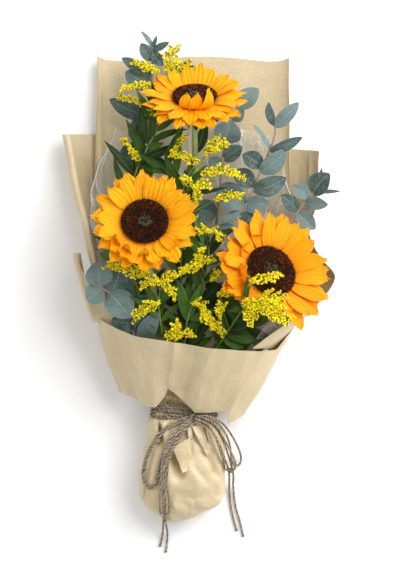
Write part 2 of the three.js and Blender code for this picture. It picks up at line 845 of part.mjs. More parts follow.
const BACK_SHEET = [
  { y: -130, floor: 9, left: { start: -24, reach: -10, rim: 12, turn: -40 }, right: { start: -12, reach: 8, rim: 11, turn: -40 } },
  { y: -104, floor: 4.6, left: { start: -26, reach: -20, rim: 8, turn: -40 }, right: { start: -8, reach: 20, rim: 8, turn: -40 } },
  { y: -74, floor: 0.5, left: { start: -28, reach: -48, rim: 8, turn: -30 }, right: { start: 0, reach: 42, rim: 8, turn: -30 } },
  { y: -30, floor: 0.5, left: { start: -38, reach: -46, rim: 9, turn: -20 }, right: { start: 10, reach: 66, rim: 10, turn: -20 } },
  { y: 40, floor: 0.5, left: { start: -52, reach: -56, rim: 13, turn: -20 }, right: { start: 38, reach: 68, rim: 12, turn: -20 } },
  { y: 120, floor: 0.5, left: { start: -62, reach: -62, rim: 14, turn: -10 }, right: { start: 54, reach: 59, rim: 12, turn: -10 } },
  { y: 200, floor: 0.5, left: { start: -66, reach: -58, rim: 15, turn: 0 }, right: { start: 56, reach: 56, rim: 12, turn: -10 } },
  { y: 284, floor: 0.5, left: { start: -66, reach: -56, rim: 17, turn: 10 }, right: { start: 58, reach: 53, rim: 12, turn: -10 } },
];
const LEFT_SHEET = [
  { y: 192, rimY: 191, start: -99, reach: -63, rim: 30, turn: -8, roll: 5 },
  { y: 128, rimY: 124, start: -98, reach: -50, rim: 38, turn: -6, roll: 5 },
  { y: 78, rimY: 74, start: -95, reach: -40, rim: 48, turn: -2, roll: 4.6 },
  { y: 34, rimY: 30, start: -90, reach: -35, rim: 58, turn: 2, roll: 4 },
  { y: -10, rimY: -12, start: -80, reach: -39, rim: 64, turn: 8, roll: 3.4 },
  { y: -44, rimY: -46, start: -72, reach: -36, rim: 66, turn: 12, roll: 3 },
];
const RIGHT_SHEET = [
  { y: 176, rimY: 170, start: 91, reach: 57, rim: 32, turn: -8 },
  { y: 118, rimY: 108, start: 90, reach: 61, rim: 38, turn: -8 },
  { y: 62, rimY: 58, start: 84, reach: 74, rim: 46, turn: -6 },
  { y: 12, rimY: 18, start: 78, reach: 86, rim: 58, turn: 0 },
  { y: -22, rimY: -12, start: 62, reach: 74, rim: 76, turn: 14 },
  { y: -46, rimY: -40, start: 54, reach: 52, rim: 92, turn: 42 },
  { y: -70, rimY: -68, start: 42, reach: 47, rim: 103, turn: 62 },
];
const SIDE_FLOOR = 0.5;

function backSheet() {
  const rows = BACK_SHEET.map(({ y, floor, left, right }) => troughRow(y, floor, left, right));
  return [meshOf("paper_back_sheet", sheet(rows, PAPER_THICK), KRAFT)];
}

// The left sheet's outer edge is rolled inwards.
function leftSheet() {
  const rows = LEFT_SHEET.map((row) => {
    const flat = risingEdge({ floor: SIDE_FLOOR, ...row }, 6);
    const edge = flat[flat.length - 1];
    const rolled = [30, 90, 150, 210].map((degrees) => {
      const turn = radians(180 - degrees);
      return at(edge.x + row.roll * (1 + Math.cos(turn)), edge.y, edge.z + row.roll * Math.sin(turn));
    });
    return [...flat, ...rolled];
  });
  return [meshOf("paper_left_sheet", sheet(rows, PAPER_THICK), KRAFT)];
}

function rightSheet() {
  const rows = RIGHT_SHEET.map((row) => risingEdge({ floor: SIDE_FLOOR, ...row }, 8));
  return [meshOf("paper_right_sheet", sheet(rows, PAPER_THICK), KRAFT)];
}

// The cuff: a strip of the wrap curled into an open roll at the left corner.
const CUFF = [
  { centre: [-141, 45, 56], radius: 5.5 },
  { centre: [-138, 20, 58], radius: 6 },
  { centre: [-133, -4, 59], radius: 6 },
  { centre: [-129, -24, 59], radius: 5 },
];

function leftCuff() {
  const rows = CUFF.map(({ centre: [x, y, z], radius }) =>
    [-60, -110, -160, -210, -260, -300].map((degrees) =>
      at(x + radius * Math.cos(radians(degrees)), y, z + 1.5 * radius * Math.sin(radians(degrees))),
    ),
  );
  return [meshOf("paper_left_cuff", sheet(rows, PAPER_THICK), KRAFT)];
}

// The front collar's folds, from under its left side over the front to under its right side: the point at the top
// edge and the point at the lower edge of each.
const COLLAR_FOLDS = [
  [[-104, -24, 10], [-74, -112, 10]],
  [[-119, -28, 24], [-90, -118, 22]],
  [[-123, -31, 44], [-95, -121, 38]],
  [[-117, -33, 76], [-86, -124, 52]],
  [[-98, -38, 96], [-72, -132, 60]],
  [[-74, -43, 110], [-60, -139, 66]],
  [[-52, -48, 119], [-50, -139, 68]],
  [[-30, -53, 124], [-34, -115, 76]],
  [[-8, -58, 127], [-18, -130, 72]],
  [[14, -62, 127], [-4, -145, 69]],
  [[36, -66, 122], [14, -145, 67]],
  [[58, -70, 112], [34, -145, 62]],
  [[78, -70, 98], [46, -150, 52]],
  [[93, -69, 76], [59, -143, 42]],
  [[109, -51, 58], [65, -133, 30]],
  [[116, -44, 34], [62, -124, 18]],
  [[108, -38, 10], [50, -116, 9]],
];
const COLLAR_ROWS = 4;
const COLLAR_CROWN = 5; // how far the middle of the collar stands out from a straight cone

function collar() {
  const middle = at(-10, -90, 40);
  const rows = Array.from({ length: COLLAR_ROWS }, (_, i) =>
    COLLAR_FOLDS.map(([top, bottom]) => {
      const share = i / (COLLAR_ROWS - 1);
      const point = at(...top).lerp(at(...bottom), share);
      const outward = point.clone().sub(middle).setY(0).normalize();
      return point.addScaledVector(outward, COLLAR_CROWN * 4 * share * (1 - share));
    }),
  );
  return [meshOf("paper_collar", sheet(rows, PAPER_THICK), KRAFT)];
}

// The foot wrap's sections from its mouth inside the collar down to its folded end:
// how far along it lies, its left and right sides, and its underside and top.
const FOOT_SECTIONS = [
  { y: -110, left: -60, right: 26, under: 1.6, top: 60 },
  { y: -127, left: -54, right: 20, under: 5, top: 55 },
  { y: NECK_Y, left: -53, right: 20, under: 6, top: 54 },
  { y: -157, left: -61, right: 25, under: 3, top: 58 },
  { y: -174, left: -62, right: 32, under: 0.2, top: 63 },
  { y: -222, left: -70, right: 32, under: 0, top: 62 },
  { y: -245, left: -70, right: 30, under: 0, top: 56 },
  { y: -257, left: -65, right: 26, under: 0, top: 50 },
  { y: -266, left: -56, right: 10, under: 0.4, top: 43 },
  { y: -276, left: -38, right: -14, under: 5, top: 34 },
];
const FOOT_SEGMENTS = 16;
const FOOT_WALL = 1.2;
const FOOT_SQUARENESS = 0.72; // below 1 the section fills out towards a box
const PLEATS = 6;
const PLEAT_DEPTH = 1.3;

function footRing({ y, left, right, under, top }, inset) {
  const pleated = 1 - Math.min(1, Math.abs(y - NECK_Y) / 60);
  return Array.from({ length: FOOT_SEGMENTS }, (_, k) => {
    const turn = (2 * Math.PI * k) / FOOT_SEGMENTS;
    const [c, s] = [Math.cos(turn), Math.sin(turn)];
    const pleat = pleated * PLEAT_DEPTH * (Math.cos(PLEATS * turn + 0.06 * y) - 1);
    const width = (right - left) / 2 - inset + pleat;
    const height = (top - under) / 2 - inset + pleat * (s > 0 ? 1 : 0);
    const x = (left + right) / 2 + width * Math.sign(c) * Math.abs(c) ** FOOT_SQUARENESS;
    const z = (under + top) / 2 + height * Math.sign(s) * Math.abs(s) ** FOOT_SQUARENESS;
    return at(x, y, z);
  });
}

// The foot wrap: a paper bag with its mouth inside the collar and its end folded shut.
function footWrap() {
  const outer = FOOT_SECTIONS.map((section) => footRing(section, 0));
  const inner = FOOT_SECTIONS.map((section) => footRing({ ...section }, FOOT_WALL));
  inner[inner.length - 1].forEach((point) => point.setY(point.y + 2));
  const rings = [...outer.reverse(), ...inner];
  const corners = rings.flat().flatMap((point) => point.toArray());
  const faces = [];
  const last = rings.length - 1;
  for (let i = 0; i < last; i += 1) {
    for (let k = 0; k < FOOT_SEGMENTS; k += 1) {
      const next = (k + 1) % FOOT_SEGMENTS;
      const [a, b] = [i * FOOT_SEGMENTS + k, i * FOOT_SEGMENTS + next];
      faces.push(a, b, b + FOOT_SEGMENTS, a, b + FOOT_SEGMENTS, a + FOOT_SEGMENTS);
    }
  }
  for (let k = 1; k < FOOT_SEGMENTS - 1; k += 1) {
    faces.push(0, k + 1, k);
    faces.push(last * FOOT_SEGMENTS, last * FOOT_SEGMENTS + k, last * FOOT_SEGMENTS + k + 1);
  }
  const geometry = new THREE.BufferGeometry();
  geometry.setAttribute("position", new THREE.Float32BufferAttribute(corners, 3));
  geometry.setIndex(faces);
  return [meshOf("paper_foot_wrap", solidOf(geometry), KRAFT)];
}

const LINER_FLOOR = 6;
const LINER = [
  { y: -74, left: { start: -30, reach: -56, rim: 22, turn: 0 }, right: { start: 12, reach: 62, rim: 84, turn: 48 } },
  { y: -40, left: { start: -40, reach: -62, rim: 28, turn: 0 }, right: { start: 24, reach: 74, rim: 84, turn: 38 } },
  { y: 6, left: { start: -48, reach: -64, rim: 38, turn: 0 }, right: { start: 34, reach: 96, rim: 56, turn: 8 } },
  { y: 50, left: { start: -52, reach: -70, rim: 42, turn: 0 }, right: { start: 50, reach: 86, rim: 36, turn: 0 } },
  { y: 98, left: { start: -60, reach: -70, rim: 38, turn: 0 }, right: { start: 56, reach: 66, rim: 28, turn: 0 } },
  { y: 142, left: { start: -66, reach: -56, rim: 28, turn: 0 }, right: { start: 60, reach: 44, rim: 20, turn: 0 } },
  { y: 196, left: { start: -62, reach: -36, rim: 16, turn: 0 }, right: { start: 60, reach: 38, rim: 14, turn: 0 } },
];

function liner() {
  const rows = LINER.map(({ y, left, right }) => troughRow(y, LINER_FLOOR, left, right, 4));
  return [meshOf("cellophane_liner", sheet(rows, LINER_THICK), CELLOPHANE)];
}

// ---------------------------------------------------------------- jute twine
// Routes of the bow's loops and tails, from the knot along the foot and down onto the surface.
const LEFT_LOOP = [
  [-20, -154, 65],
  [-38, -165, 67],
  [-54, -182, 65],
  [-62, -202, 61],
  [-65, -222, 57],
  [-62, -234, 57],
  [-56, -232, 61],
  [-50, -216, 66],
  [-42, -196, 69],
  [-31, -174, 69],
  [-19, -160, 67],
];
const LEFT_TAIL_A = [
  [-14, -160, 70],
  [-24, -174, 74],
  [-36, -196, 75],
  [-42, -222, 69],
  [-43, -250, 61],
  [-43, -268, 49],
  [-43, -282, 30],
  [-43, -291, 10],
  [-44, -300, 3],
  [-46, -309, 2],
];
const LEFT_TAIL_B = [
  [-10, -162, 69],
  [-20, -177, 71],
  [-31, -199, 71],
  [-37, -225, 68],
  [-38, -250, 61],
  [-38, -268, 49],
  [-37.5, -282, 30],
  [-37, -292, 10],
  [-37.5, -303, 3],
  [-39, -316, 2],
];
const RIGHT_TAIL_A = [
  [1, -156, 66],
  [14, -164, 68],
  [24, -180, 66],
  [31, -198, 58],
  [37, -216, 38],
  [38, -228, 17],
  [38, -240, 5],
  [40, -262, 2.4],
  [44, -280, 2],
  [47, -290, 2],
];
const RIGHT_TAIL_B = [
  [5, -152, 66],
  [18, -160, 69],
  [29, -176, 66],
  [36, -195, 57],
  [41, -212, 38],
  [43, -224, 18],
  [43, -238, 5],
  [46, -262, 2.4],
  [51, -280, 2],
  [55, -297, 2],
];
const RIGHT_LOOP = [
  [24, -151, 58],
  [34, -160, 52],
  [43, -178, 36],
  [48, -192, 17],
  [51, -204, 5],
  [47, -210, 2.6],
  [44, -200, 8],
  [42, -186, 24],
  [38, -172, 42],
];

// The band of twine round the neck: a flattened ring that follows the wrap's section at the tie.
function band() {
  const [halfWidth, halfHeight, thick, tall] = [40.2, 27.8, 2.4, 5.2];
  const ring = new THREE.TorusGeometry(1, 0.5, 6, 20);
  const places = ring.attributes.position;
  for (let k = 0; k < places.count; k += 1) {
    const turn = Math.atan2(places.getY(k), places.getX(k));
    const outward = (Math.hypot(places.getX(k), places.getY(k)) - 1) * 2;
    const along = places.getZ(k) * 2;
    const [c, s] = [Math.cos(turn), Math.sin(turn)];
    const x = NECK_X + (halfWidth + outward * thick) * Math.sign(c) * Math.abs(c) ** FOOT_SQUARENESS;
    const z = NECK_Z + (halfHeight + outward * thick) * Math.sign(s) * Math.abs(s) ** FOOT_SQUARENESS;
    places.setXYZ(k, x, NECK_Y + along * tall, z);
  }
  return solidOf(ring);
}

// The knot: a core with two turns of twine pulled tight over it.
function knot() {
  const place = at(-7, -152, 65);
  const core = new THREE.IcosahedronGeometry(4.6, 0);
  core.scale(1.3, 1, 0.8);
  const turns = [20, 110].map((degrees) => {
    const turn = new THREE.TorusGeometry(4.4, TWINE_RADIUS, 4, 8);
    turn.rotateX(radians(90));
    turn.rotateZ(radians(degrees));
    turn.scale(1.2, 1, 0.8);
    return turn;
  });
  return fuse([core, ...turns].map((shape) => solidOf(shape.translate(...place))));
}

function twine() {
  const strand = (name, route, radius, steps) => meshOf(name, tube(route, radius, 8, steps), JUTE);
  return [
    meshOf("twine_band", band(), JUTE),
    meshOf("twine_knot", onePiece(knot()), JUTE),
    strand("twine_left_loop", LEFT_LOOP, LOOP_RADIUS, 14),
    strand("twine_left_tail_a", LEFT_TAIL_A, TWINE_RADIUS, 11),
    strand("twine_left_tail_b", LEFT_TAIL_B, TWINE_RADIUS, 11),
    strand("twine_right_tail_a", RIGHT_TAIL_A, TWINE_RADIUS, 11),
    strand("twine_right_tail_b", RIGHT_TAIL_B, TWINE_RADIUS, 11),
    strand("twine_right_loop", RIGHT_LOOP, TWINE_RADIUS, 12),
  ];
}

// ---------------------------------------------------------------- the bunch
const bunch = new THREE.Group();
bunch.add(
  ...SUNFLOWERS.flatMap(sunflower),
  ...EUCALYPTUS_SPRAYS.flatMap(eucalyptus),
  ...GOLDENROD_SPRAYS.flatMap(goldenrod),
  ...backSheet(),
  ...leftSheet(),
  ...rightSheet(),
  ...leftCuff(),
  ...collar(),
  ...footWrap(),
  ...liner(),
  ...twine(),
);

export default bunch;
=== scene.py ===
"""The looks of a florist's bunch of sunflowers with eucalyptus and goldenrod, wrapped in kraft paper.

The bunch lies on its back: X to the right, Y from the foot of the wrap to the blooms, Z up. Sizes are in
metres, but in millimetres in the sprays and in what metres(), at() or a function named for its rows takes.
Angles in tables are in degrees. The places and sizes are those of the construction.
"""

from __future__ import annotations

import json
import logging
import math
import random
from dataclasses import dataclass
from enum import Enum
from typing import Callable, Iterable, Sequence

import bmesh
import bpy
from mathutils import Matrix, Vector, noise

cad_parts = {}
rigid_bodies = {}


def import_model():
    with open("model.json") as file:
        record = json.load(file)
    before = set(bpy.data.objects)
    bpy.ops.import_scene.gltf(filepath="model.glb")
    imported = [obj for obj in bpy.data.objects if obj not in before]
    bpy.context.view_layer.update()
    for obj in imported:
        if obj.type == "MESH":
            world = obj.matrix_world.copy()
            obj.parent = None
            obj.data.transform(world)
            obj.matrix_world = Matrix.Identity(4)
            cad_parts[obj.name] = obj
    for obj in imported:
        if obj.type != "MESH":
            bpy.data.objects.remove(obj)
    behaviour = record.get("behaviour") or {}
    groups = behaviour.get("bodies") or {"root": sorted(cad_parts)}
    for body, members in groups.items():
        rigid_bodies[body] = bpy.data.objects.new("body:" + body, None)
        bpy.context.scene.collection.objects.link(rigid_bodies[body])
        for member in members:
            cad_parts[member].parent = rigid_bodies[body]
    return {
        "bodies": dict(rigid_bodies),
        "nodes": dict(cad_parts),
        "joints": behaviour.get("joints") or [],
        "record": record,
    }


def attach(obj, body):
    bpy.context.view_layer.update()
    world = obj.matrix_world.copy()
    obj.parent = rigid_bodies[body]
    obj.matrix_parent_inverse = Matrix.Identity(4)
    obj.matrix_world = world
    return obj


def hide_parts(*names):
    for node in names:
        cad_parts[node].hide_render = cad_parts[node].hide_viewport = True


Point = Sequence[float]
Colour = tuple[float, float, float]
Material = bpy.types.Material
Piece = bpy.types.Object
Measure = Callable[[float, float], float]  # of the measures across and along a surface, each from 0 to 1
Shape = Callable[[float, float], Vector]

LOG = logging.getLogger("bunch")
BODY = "root"
SEED = 20251
TAU = 2 * math.pi

PAPER_THICK = 0.0005
FILM_THICK = 0.0003
BLADE_THICK = 0.0004
NECK_X = -0.017
NECK_Y = -0.143
NECK_Z = 0.030
CUT_Y = -0.250
CUT_SPREAD = 1.05
STRAND = 0.0024  # the twine's diameter


def metres(value: float | Sequence) -> float | tuple:
    """Lengths given in millimetres, as a number or as nested tables, in metres."""
    return tuple(metres(part) for part in value) if isinstance(value, tuple) else value / 1000


# -------------------- smooth curves
def mix(a: float, b: float, share: float) -> float:
    """The value a share of the way from a to b."""
    return a + (b - a) * share


def smooth(low: float, high: float, value: float) -> float:
    """A smooth step from 0 at low to 1 at high."""
    share = min(1.0, max(0.0, (value - low) / (high - low)))
    return share * share * (3 - 2 * share)


class Route:
    """A smooth curve through points, sampled evenly along its length."""

    SAMPLES = 16

    def __init__(self, points: Iterable[Point]) -> None:
        """Args: points: the places that the curve passes through, in order."""
        knots = [Vector(point) for point in points]
        knots = [2 * knots[0] - knots[1], *knots, 2 * knots[-1] - knots[-2]]
        self.points: list[Vector] = []
        for k in range(1, len(knots) - 2):
            for step in range(self.SAMPLES):
                self.points.append(self._span(*knots[k - 1 : k + 3], step / self.SAMPLES))
        self.points.append(knots[-2])
        self.reach = [0.0]
        for a, b in zip(self.points, self.points[1:]):
            self.reach.append(self.reach[-1] + (b - a).length)
        self.length = self.reach[-1]

    @staticmethod
    def _span(p0: Vector, p1: Vector, p2: Vector, p3: Vector, share: float) -> Vector:
        """The point that share of the way from p1 to p2 on a centripetal Catmull-Rom span.

        Args:
            p0, p1, p2, p3: four points in order.
            share: from 0 at p1 to 1 at p2.

        Returns:
            The point.
        """
        d0, d1, d2 = (math.sqrt(max((b - a).length, 1e-9)) for a, b in ((p0, p1), (p1, p2), (p2, p3)))
        start = ((p1 - p0) / d0 - (p2 - p0) / (d0 + d1) + (p2 - p1) / d1) * d1
        end = ((p2 - p1) / d1 - (p3 - p1) / (d1 + d2) + (p3 - p2) / d2) * d1
        square = 3 * (p2 - p1) - 2 * start - end
        cube = 2 * (p1 - p2) + start + end
        return p1 + start * share + square * share**2 + cube * share**3

    def at(self, share: float) -> Vector:
        """The point that share of the length along the curve.

        Args:
            share: from 0 at its start to 1 at its end.

        Returns:
            The point.
        """
        goal = min(max(share, 0.0), 1.0) * self.length
        low, high = 0, len(self.reach) - 1
        while high - low > 1:
            middle = (low + high) // 2
            if self.reach[middle] <= goal:
                low = middle
            else:
                high = middle
        width = self.reach[high] - self.reach[low] or 1.0
        return self.points[low].lerp(self.points[high], (goal - self.reach[low]) / width)

    def along(self, share: float) -> Vector:
        """The direction of the curve there."""
        step = 0.004
        return (self.at(share + step) - self.at(share - step)).normalized()

    def nearest(self, place: Point) -> Vector:
        """The point of the curve nearest to a place seen from above."""
        return min(self.points, key=lambda point: math.hypot(point.x - place[0], point.y - place[1])).copy()

    def beside(self, side: float) -> list[Vector]:
        """About 30 of the curve's points, moved sideways.

        Args:
            side: how far to the left of the way it runs, seen from above.

        Returns:
            The moved points.
        """
        count = 30
        moved = []
        for k in range(count + 1):
            ahead = self.along(k / count)
            left = Vector((-ahead.y, ahead.x, 0))
            left = left.normalized() if left.length > 1e-6 else Vector((1, 0, 0))
            moved.append(self.at(k / count) + left * side)
        return moved


def blend_rows(rows: Sequence[Sequence[float]], share: float) -> list[float]:
    """A row of values between the rows of a table, on a smooth curve through them.

    Args:
        rows: the table.
        share: from 0 at its first row to 1 at its last.

    Returns:
        The row's values.
    """
    place = min(max(share, 0.0), 1.0) * (len(rows) - 1)
    k = min(int(place), len(rows) - 2)
    t = place - k
    before, a, b, after = rows[max(k - 1, 0)], rows[k], rows[k + 1], rows[min(k + 2, len(rows) - 1)]
    return [
        q + 0.5 * t * (r - p + t * (2 * p - 5 * q + 4 * r - s + t * (3 * (q - r) + s - p)))
        for p, q, r, s in zip(before, a, b, after)
    ]


def distinct(parts: Iterable) -> list:
    """The parts of a mesh, each once, in the order they came in, so that every run makes the same mesh."""
    return list(dict.fromkeys(parts))


def crumple(place: Vector, size: float, depth: float, seed: float) -> Vector:
    """How far a spot of a sheet with crumples of that size and depth is moved. The seed is the sheet's."""
    spot = place / size + Vector((seed, 2.3 * seed, -seed))
    return noise.noise_vector(spot) * depth


def facets(place: Vector, size: float, depth: float, seed: float) -> float:
    """How far crumpled paper stands out at a spot: flat facets that meet in sharp valleys.

    Args:
        place: the spot.
        size: how wide the facets are.
        depth: how deep the valleys are.
        seed: a number that sets one sheet apart from another.

    Returns:
        The height, 0 on average.
    """
    spot = place / size + Vector((3.1 * seed, seed, -seed))
    near, far = noise.voronoi(spot + noise.noise_vector(spot) * 0.35)[0][:2]
    return depth * (min(far - near, 0.7) - 0.3)


# -------------------- finishes
class Wire:
    """A socket of numbers, on which Python's arithmetic adds Math nodes."""

    def __init__(self, graph: Graph, socket: bpy.types.NodeSocket) -> None:
        """Args: graph: the finish it is in. socket: the output it carries."""
        self.graph = graph
        self.socket = socket

    def _math(self, operation: str, *values: Wire | float) -> Wire:
        """The result of a Math node."""
        node = self.graph.node("ShaderNodeMath", {"operation": operation}, dict(enumerate(values)))
        return Wire(self.graph, node.outputs[0])

    def __add__(self, other: Wire | float) -> Wire:
        """Sum."""
        return self._math("ADD", self, other)

    def __sub__(self, other: Wire | float) -> Wire:
        """Difference."""
        return self._math("SUBTRACT", self, other)

    def __rsub__(self, other: float) -> Wire:
        """Difference from a number."""
        return self._math("SUBTRACT", other, self)

    def __mul__(self, other: Wire | float) -> Wire:
        """Product."""
        return self._math("MULTIPLY", self, other)

    def __abs__(self) -> Wire:
        """Size without its sign."""
        return self._math("ABSOLUTE", self)

    def __pow__(self, other: float) -> Wire:
        """Power."""
        return self._math("POWER", self, other)

    __radd__ = __add__
    __rmul__ = __mul__

    def sine(self) -> Wire:
        """Its sine."""
        return self._math("SINE", self)

    def step(self, low: float, high: float) -> Wire:
        """A smooth step from 0 at low to 1 at high."""
        settings = {"interpolation_type": "SMOOTHSTEP"}
        node = self.graph.node("ShaderNodeMapRange", settings, {0: self, 1: low, 2: high})
        return Wire(self.graph, node.outputs[0])


class Graph:
    """The nodes of one finish."""

    def __init__(self, name: str) -> None:
        """Args: name: the material's name."""
        self.material = bpy.data.materials.new(name)
        self.material.use_nodes = True
        self.tree = self.material.node_tree
        self.tree.nodes.clear()

    def node(self, kind: str, settings: dict | None = None, sockets: dict | None = None) -> bpy.types.Node:
        """Adds a node.

        Args:
            kind: its type.
            settings: its own settings, and under "stops" a ramp's places and colours.
            sockets: the value or link of each input, by name or number.

        Returns:
            The node.
        """
        made = self.tree.nodes.new(kind)
        for key, value in (settings or {}).items():
            if key == "stops":
                ramp = made.color_ramp.elements
                while len(ramp) < len(value):
                    ramp.new(1.0)
                for stop, (place, colour) in zip(ramp, value):
                    stop.position = place
                    stop.color = (*colour, 1)
            else:
                setattr(made, key, value)
        for key, value in (sockets or {}).items():
            if isinstance(value, Wire):
                self.tree.links.new(value.socket, made.inputs[key])
            elif isinstance(value, tuple) and len(value) == 3 and made.inputs[key].type == "RGBA":
                made.inputs[key].default_value = (*value, 1)
            else:
                made.inputs[key].default_value = value
        return made

    def wire(
        self, kind: str, settings: dict | None = None, sockets: dict | None = None, out: int | str = 0
    ) -> Wire:
        """Adds a node and returns one of its outputs."""
        return Wire(self, self.node(kind, settings, sockets).outputs[out])

    def place(self) -> Wire:
        """The spot on the piece, in metres."""
        return self.wire("ShaderNodeTexCoord", out="Object")

    def across(self) -> tuple[Wire, Wire]:
        """The piece's own measures across and along its surface, each from 0 to 1."""
        uv = self.wire("ShaderNodeUVMap", {"uv_map": "UVMap"})
        split = self.node("ShaderNodeSeparateXYZ", None, {0: uv})
        return Wire(self, split.outputs[0]), Wire(self, split.outputs[1])

    def tone(self) -> Wire:
        """What sets one petal, leaf or floret apart from the next, from 0 to 1."""
        return self.wire("ShaderNodeAttribute", {"attribute_name": "tone"}, out="Fac")

    def cloud(self, scale: float, detail: float = 2, stretch: Point = (1, 1, 1), uv: bool = False) -> Wire:
        """A soft random pattern.

        Args:
            scale: spots for each metre, or for each unit of the UV map.
            detail: how many finer layers it has.
            stretch: how much denser it is along each axis.
            uv: whether it follows the UV map.

        Returns:
            Its value, about 0.5.
        """
        spot = self.wire("ShaderNodeUVMap", {"uv_map": "UVMap"}) if uv else self.place()
        turned = self.wire("ShaderNodeMapping", None, {"Vector": spot, "Scale": tuple(stretch)})
        return self.wire("ShaderNodeTexNoise", None, {"Vector": turned, "Scale": scale, "Detail": detail})

    def blend(self, factor: Wire | float, a: Wire | Colour, b: Wire | Colour, how: str = "MIX") -> Wire:
        """A mix of two colours."""
        sockets = {0: factor, 6: a, 7: b}
        return self.wire("ShaderNodeMix", {"data_type": "RGBA", "blend_type": how}, sockets, out=2)

    def ramp(self, factor: Wire, stops: Sequence[tuple[float, Colour]]) -> Wire:
        """The colour of a ramp."""
        return self.wire("ShaderNodeValToRGB", {"stops": stops}, {0: factor})

    def bump(self, height: Wire, depth: float, strength: float = 1.0) -> Wire:
        """A normal from a height from 0 to 1, where 1 stands for depth in metres."""
        sockets = {"Height": height, "Distance": depth, "Strength": strength}
        return self.wire("ShaderNodeBump", None, sockets)

    def shader(self, **sockets: Wire | float | tuple) -> Wire:
        """A surface with the named sockets set, such as Base_Color."""
        named = {key.replace("_", " "): value for key, value in sockets.items()}
        return self.wire("ShaderNodeBsdfPrincipled", None, named)

    def done(self, surface: Wire) -> Material:
        """The finished material."""
        self.node("ShaderNodeOutputMaterial", None, {"Surface": surface})
        return self.material


@dataclass(frozen=True)
class PetalFinish:
    """A ray petal: deep orange at its root, golden further out, with fine ribs along it and painted shade,
    a darker orange, in the furrows between them.
    """

    root: Colour = (0.94, 0.27, 0.002)
    middle: Colour = (1.0, 0.455, 0.002)
    tip: Colour = (1.0, 0.52, 0.003)
    ribs: float = 9.0

    def material(self) -> Material:
        """The petal's material.

        Returns:
            The material, with ribs along the blade.
        """
        g = Graph("petal")
        across, along = g.across()
        base = g.ramp(along, ((0.0, self.root), (0.35, self.middle), (1.0, self.tip)))
        fibre = g.cloud(14, 3, (6, 0.5, 1), uv=True)
        rib = (across * (self.ribs * TAU) + fibre * 2.0).sine() * 0.5 + 0.5
        # painted shade: a darker orange in the furrows between the ribs, with random fibre streaks
        shade = g.blend((1 - rib) * 0.42 + fibre * 0.16, base, (0.88, 0.23, 0.001))
        warm = g.blend(g.tone() * 0.42, shade, (1.0, 0.29, 0.002))
        normal = g.bump(rib * 0.6 + fibre * 0.4, 0.0005)
        surface = g.shader(
            Base_Color=warm, Roughness=0.55, Normal=normal, Specular_IOR_Level=0.18, Subsurface_Weight=0.18,
            Subsurface_Radius=(0.004, 0.002, 0.0005), Subsurface_Scale=0.5,
        )
        return g.done(surface)


@dataclass(frozen=True)
class DiscFinish:
    """A disc floret: dark brown, tipped with orange further out, grey green in the middle of the disc."""

    dark: Colour = (0.014, 0.005, 0.003)
    brown: Colour = (0.065, 0.018, 0.005)
    pollen: Colour = (0.30, 0.075, 0.005)
    bud: Colour = (0.012, 0.012, 0.008)
    pale_bud: Colour = (0.17, 0.17, 0.10)

    def material(self) -> Material:
        """The florets' material. Their tone is under 0.3 for buds and above it for open florets.

        Returns:
            The material.
        """
        g = Graph("seed_disc")
        tone = g.tone()
        grain = g.cloud(900, 2)
        open_floret = g.blend(grain.step(0.35, 0.75), self.dark, self.brown)
        tipped = g.blend(tone.step(0.8, 1.0), open_floret, self.pollen)
        buds = g.blend(tone.step(0.08, 0.20), self.bud, self.pale_bud)
        colour = g.blend(1 - tone.step(0.24, 0.34), tipped, buds)
        normal = g.bump(grain, 0.0004)
        return g.done(g.shader(Base_Color=colour, Roughness=0.8, Normal=normal, Specular_IOR_Level=0.2))


@dataclass(frozen=True)
class LeafFinish:
    """A leaf with a pale midrib and side veins, mottled from leaf to leaf."""

    name: str
    deep: Colour
    light: Colour
    vein: Colour
    roughness: float = 0.5
    veins: float = 7.0
    vein_share: float = 0.5
    bloom: float = 0.0

    def material(self) -> Material:
        """The leaf's material.

        Returns:
            The material, with its veins laid by UV.
        """
        g = Graph(self.name)
        across, along = g.across()
        from_rib = abs(across - 0.5)
        patch = g.cloud(70, 3)
        tone = g.tone()
        base = g.blend((patch * 0.6 + tone * 0.7).step(0.35, 0.95), self.deep, self.light)
        midrib = 1 - from_rib.step(0.012, 0.045)
        slant = along * self.veins - from_rib * (self.veins * 0.55) + g.cloud(3, 1, uv=True) * 0.35
        side_vein = (abs((slant * math.pi).sine()) * -1 + 1) ** 10.0
        net = (midrib + side_vein * 0.45) * self.vein_share
        colour = g.blend(net, base, self.vein)
        if self.bloom:
            dust = g.cloud(420, 4).step(0.4, 0.75) * self.bloom
            colour = g.blend(dust, colour, (0.33, 0.42, 0.42))
        height = 1 - midrib * 0.7 - side_vein * 0.3 + g.cloud(500, 2) * 0.25
        surface = g.shader(
            Base_Color=colour, Roughness=self.roughness, Normal=g.bump(height, 0.0005),
            Specular_IOR_Level=0.25, Subsurface_Weight=0.06, Subsurface_Radius=(0.001, 0.002, 0.0008),
            Subsurface_Scale=0.4,
        )
        return g.done(surface)


@dataclass(frozen=True)
class StemFinish:
    """A stem with lengthwise streaks."""

    name: str
    deep: Colour
    light: Colour

    def material(self) -> Material:
        """The stem's material."""
        g = Graph(self.name)
        streak = g.cloud(8, 3, (5, 22, 1), uv=True)
        colour = g.blend((streak * 0.8 + g.cloud(120, 2) * 0.4).step(0.3, 0.9), self.deep, self.light)
        return g.done(g.shader(Base_Color=colour, Roughness=0.55, Normal=g.bump(streak, 0.0004)))


